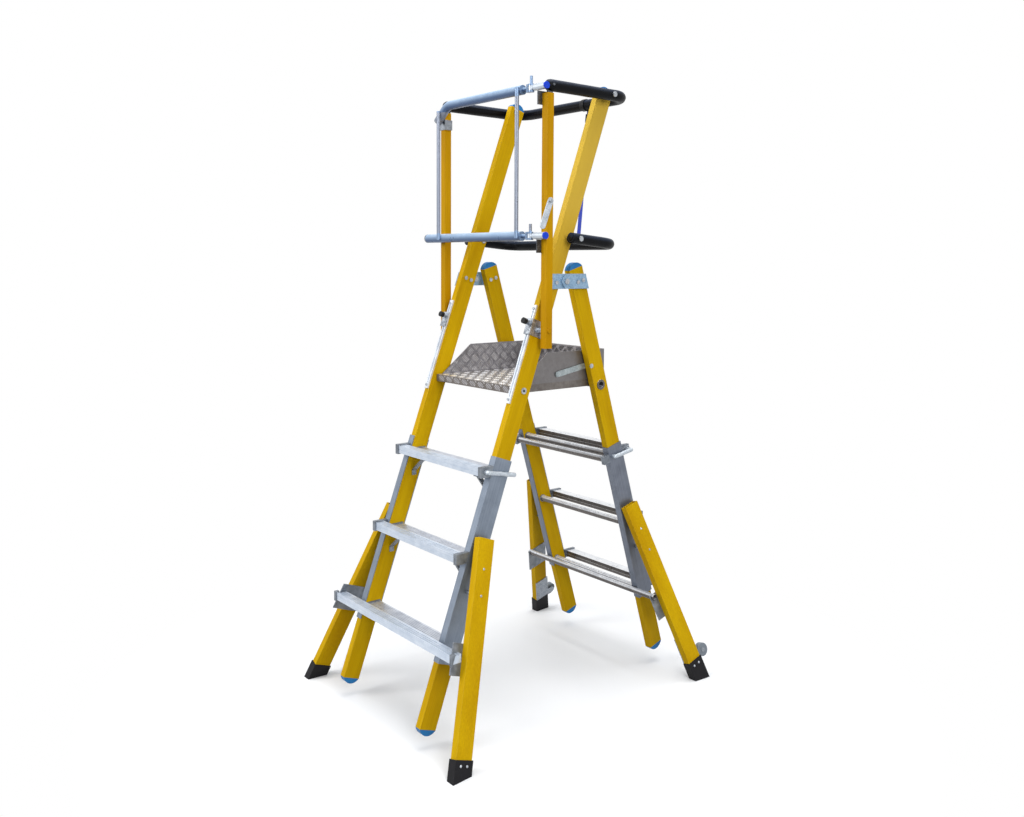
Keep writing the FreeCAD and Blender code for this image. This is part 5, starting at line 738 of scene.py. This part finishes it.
sleeve("top_rail_pad", "top_rail", TOP_SLEEVE_RADIUS, True)
sleeve("mid_rail_pad", "mid_rail", MIDDLE_SLEEVE_RADIUS, False)


# ---------------------------------------------------------------- webbing strap
# An 18 mm strap of woven polypropylene hangs from a black nylon loop round the top rail's rear bar,
# with a slide buckle below the loop. Its lower end hangs behind the middle rail's rear bar.
STRAP_WIDE = 0.018
STRAP_THICK = 0.002
LOOP_RADIUS = 0.0211
WEAVE_MM = 1.5
WAVES = 1000 / WEAVE_MM / 6.28

webbing, tree, shader = surface("polypropylene_webbing_woven", {"IOR": 1.49, "Sheen Weight": 0.15})
place = add(tree, "ShaderNodeTexCoord").outputs["Object"]
across = add(tree, "ShaderNodeTexWave", {"Vector": place, "Scale": WAVES / 2},
             bands_direction="X").outputs["Fac"]
down = add(tree, "ShaderNodeTexWave", {"Vector": place, "Scale": WAVES},
           bands_direction="Z").outputs["Fac"]
threads = add(tree, "ShaderNodeMath", {0: across, 1: down}, operation="MULTIPLY").outputs[0]
colour = add(tree, "ShaderNodeMix", {0: threads, 6: linear("#0D2A9C"), 7: linear("#1E4AD2")},
             data_type="RGBA")
tree.links.new(colour.outputs[2], shader["Base Color"])
gloss = add(tree, "ShaderNodeMapRange", {"Value": threads, "To Min": 0.5, "To Max": 0.75})
tree.links.new(gloss.outputs[0], shader["Roughness"])
relief = add(tree, "ShaderNodeBump", {"Height": threads, "Distance": 0.0003})
tree.links.new(relief.outputs[0], shader["Normal"])

strap_low, strap_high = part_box("rail_strap")
sleeve_low, sleeve_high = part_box("top_rail_pad")
bar = Vector(((strap_low[0] + strap_high[0]) / 2, sleeve_high[1] - TOP_SLEEVE_RADIUS,
              (sleeve_low[2] + sleeve_high[2]) / 2))
foot = Vector((bar.x, strap_low[1] + STRAP_THICK / 2, strap_low[2]))
shoulder = bar + Vector((0, LOOP_RADIUS, 0))
loop = [bar + Vector((0, math.cos(a), math.sin(a))) * LOOP_RADIUS
        for a in (math.radians(350 - 340 * k / 32) for k in range(33))]
hang = [shoulder.lerp(foot, k / 60) for k in range(1, 61)]


def webbing_run(name, line, material):
    """A flat band along a line in the plane across X, with thinner edges."""
    points, faces = [], []
    for number, point in enumerate(line):
        ahead = line[min(number + 1, len(line) - 1)] - line[max(number - 1, 0)]
        ahead.normalize()
        out = Vector((1, 0, 0)).cross(ahead)
        for edge, face in ((-0.5, -0.5), (-0.5, 0.5), (-0.42, 0.62), (0.42, 0.62), (0.5, 0.5),
                           (0.5, -0.5), (0.42, -0.62), (-0.42, -0.62)):
            points.append(point + Vector((edge * STRAP_WIDE, 0, 0))
                          + out * face * STRAP_THICK * 0.8)
        if number:
            first = (number - 1) * 8
            faces += [[first + s, first + 8 + s, first + 8 + (s + 1) % 8, first + (s + 1) % 8]
                      for s in range(8)]
    faces += [list(range(8)), list(range(len(points) - 8, len(points)))[::-1]]
    made = build(name, points, faces, [material])
    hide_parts("rail_strap")
    return made


keeper = webbing_run("rail_strap_loop", loop + [shoulder], black_nylon)
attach(keeper, "top_rail")
strap = webbing_run("rail_strap_webbing", [shoulder] + hang, webbing)
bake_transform(strap)
dress(black_nylon, "strap_buckle")


# ---------------------------------------------------------------- floor, light and camera
# A plain pale studio floor, which goes over into a white surround 0.75 to 1.5 m out, two soft boxes
# in front and a wide one overhead.
FADE_STARTS = 0.75
FADE_ENDS = 1.5


def seen_white(tree):
    """1 for rays that see the surround directly or mirrored, and 0 for those that light the part."""
    ray = add(tree, "ShaderNodeLightPath").outputs
    seen = add(tree, "ShaderNodeMath", {0: ray["Is Camera Ray"], 1: ray["Is Glossy Ray"]},
               operation="MAXIMUM").outputs[0]
    return add(tree, "ShaderNodeMath", {0: seen, 1: ray["Is Transmission Ray"]},
               operation="MAXIMUM").outputs[0]


floor_paint, tree, shader = surface("studio_floor_matt_white", {"Roughness": 0.9,
                                                                "Specular IOR Level": 0.1})
seen = seen_white(tree)
paint = add(tree, "ShaderNodeMix", {0: seen, 6: linear("#8C8C8C"), 7: linear("#FBFBFB")},
            data_type="RGBA")
tree.links.new(paint.outputs[2], shader["Base Color"])
place = add(tree, "ShaderNodeNewGeometry").outputs["Position"]
away = add(tree, "ShaderNodeVectorMath", {0: place}, operation="LENGTH").outputs["Value"]
fade = add(tree, "ShaderNodeMapRange", {"Value": away, "From Min": FADE_STARTS, "From Max": FADE_ENDS},
           interpolation_type="SMOOTHSTEP").outputs[0]
fade = add(tree, "ShaderNodeMath", {0: fade, 1: seen}, operation="MULTIPLY").outputs[0]
white = add(tree, "ShaderNodeEmission", {"Color": (1, 1, 1, 1), "Strength": 1.0})
blend = add(tree, "ShaderNodeMixShader", {0: fade, 1: tree.nodes["Principled BSDF"].outputs[0],
                                          2: white.outputs[0]})
tree.links.new(blend.outputs[0], tree.nodes["Material Output"].inputs["Surface"])
floor = build("studio_floor", [(-30, -30, -0.0005), (30, -30, -0.0005), (30, 30, -0.0005),
                               (-30, 30, -0.0005)], [(0, 1, 2, 3)], [floor_paint])

world = bpy.data.worlds.new("studio_surround")
bpy.context.scene.world = world
world.use_nodes = True
tree = world.node_tree
tree.nodes.clear()
seen = seen_white(tree)
lit = add(tree, "ShaderNodeBackground", {"Color": linear("#EEF3FA"), "Strength": 0.55})
shown = add(tree, "ShaderNodeBackground", {"Color": (1, 1, 1, 1), "Strength": 1.0})
both = add(tree, "ShaderNodeMixShader", {0: seen, 1: lit.outputs[0], 2: shown.outputs[0]})
add(tree, "ShaderNodeOutputWorld", {"Surface": both.outputs[0]})

for name, place, size, power in (("soft_box_left", (-1.6, -4.4, 3.4), 2.6, 120),
                                 ("soft_box_right", (4.4, -1.4, 2.6), 2.6, 95),
                                 ("soft_box_above", (0.3, 0.2, 4.8), 3.0, 130)):
    light = bpy.data.lights.new(name, "AREA")
    light.size = size
    light.energy = power
    lamp = bpy.data.objects.new(name, light)
    lamp.location = place
    aim = Vector((0, 0, 1.0)) - Vector(place)
    lamp.rotation_euler = aim.to_track_quat("-Z", "Y").to_euler()
    bpy.context.collection.objects.link(lamp)

view = bpy.data.cameras.new("camera")
view.sensor_width = 36
view.lens = 33.302
view.shift_y = -0.0781
camera = bpy.data.objects.new("camera", view)
turn = (Matrix.Rotation(math.radians(50.679), 4, "Z")
        @ Matrix.Rotation(math.radians(90 - 4.0243), 4, "X")
        @ Matrix.Rotation(math.radians(0.3115), 4, "Z"))
camera.matrix_world = Matrix.Translation((2.62893, -2.15183, 1.52420)) @ turn
bpy.context.collection.objects.link(camera)
bpy.context.scene.camera = camera
bpy.context.scene.view_settings.view_transform = "Standard"
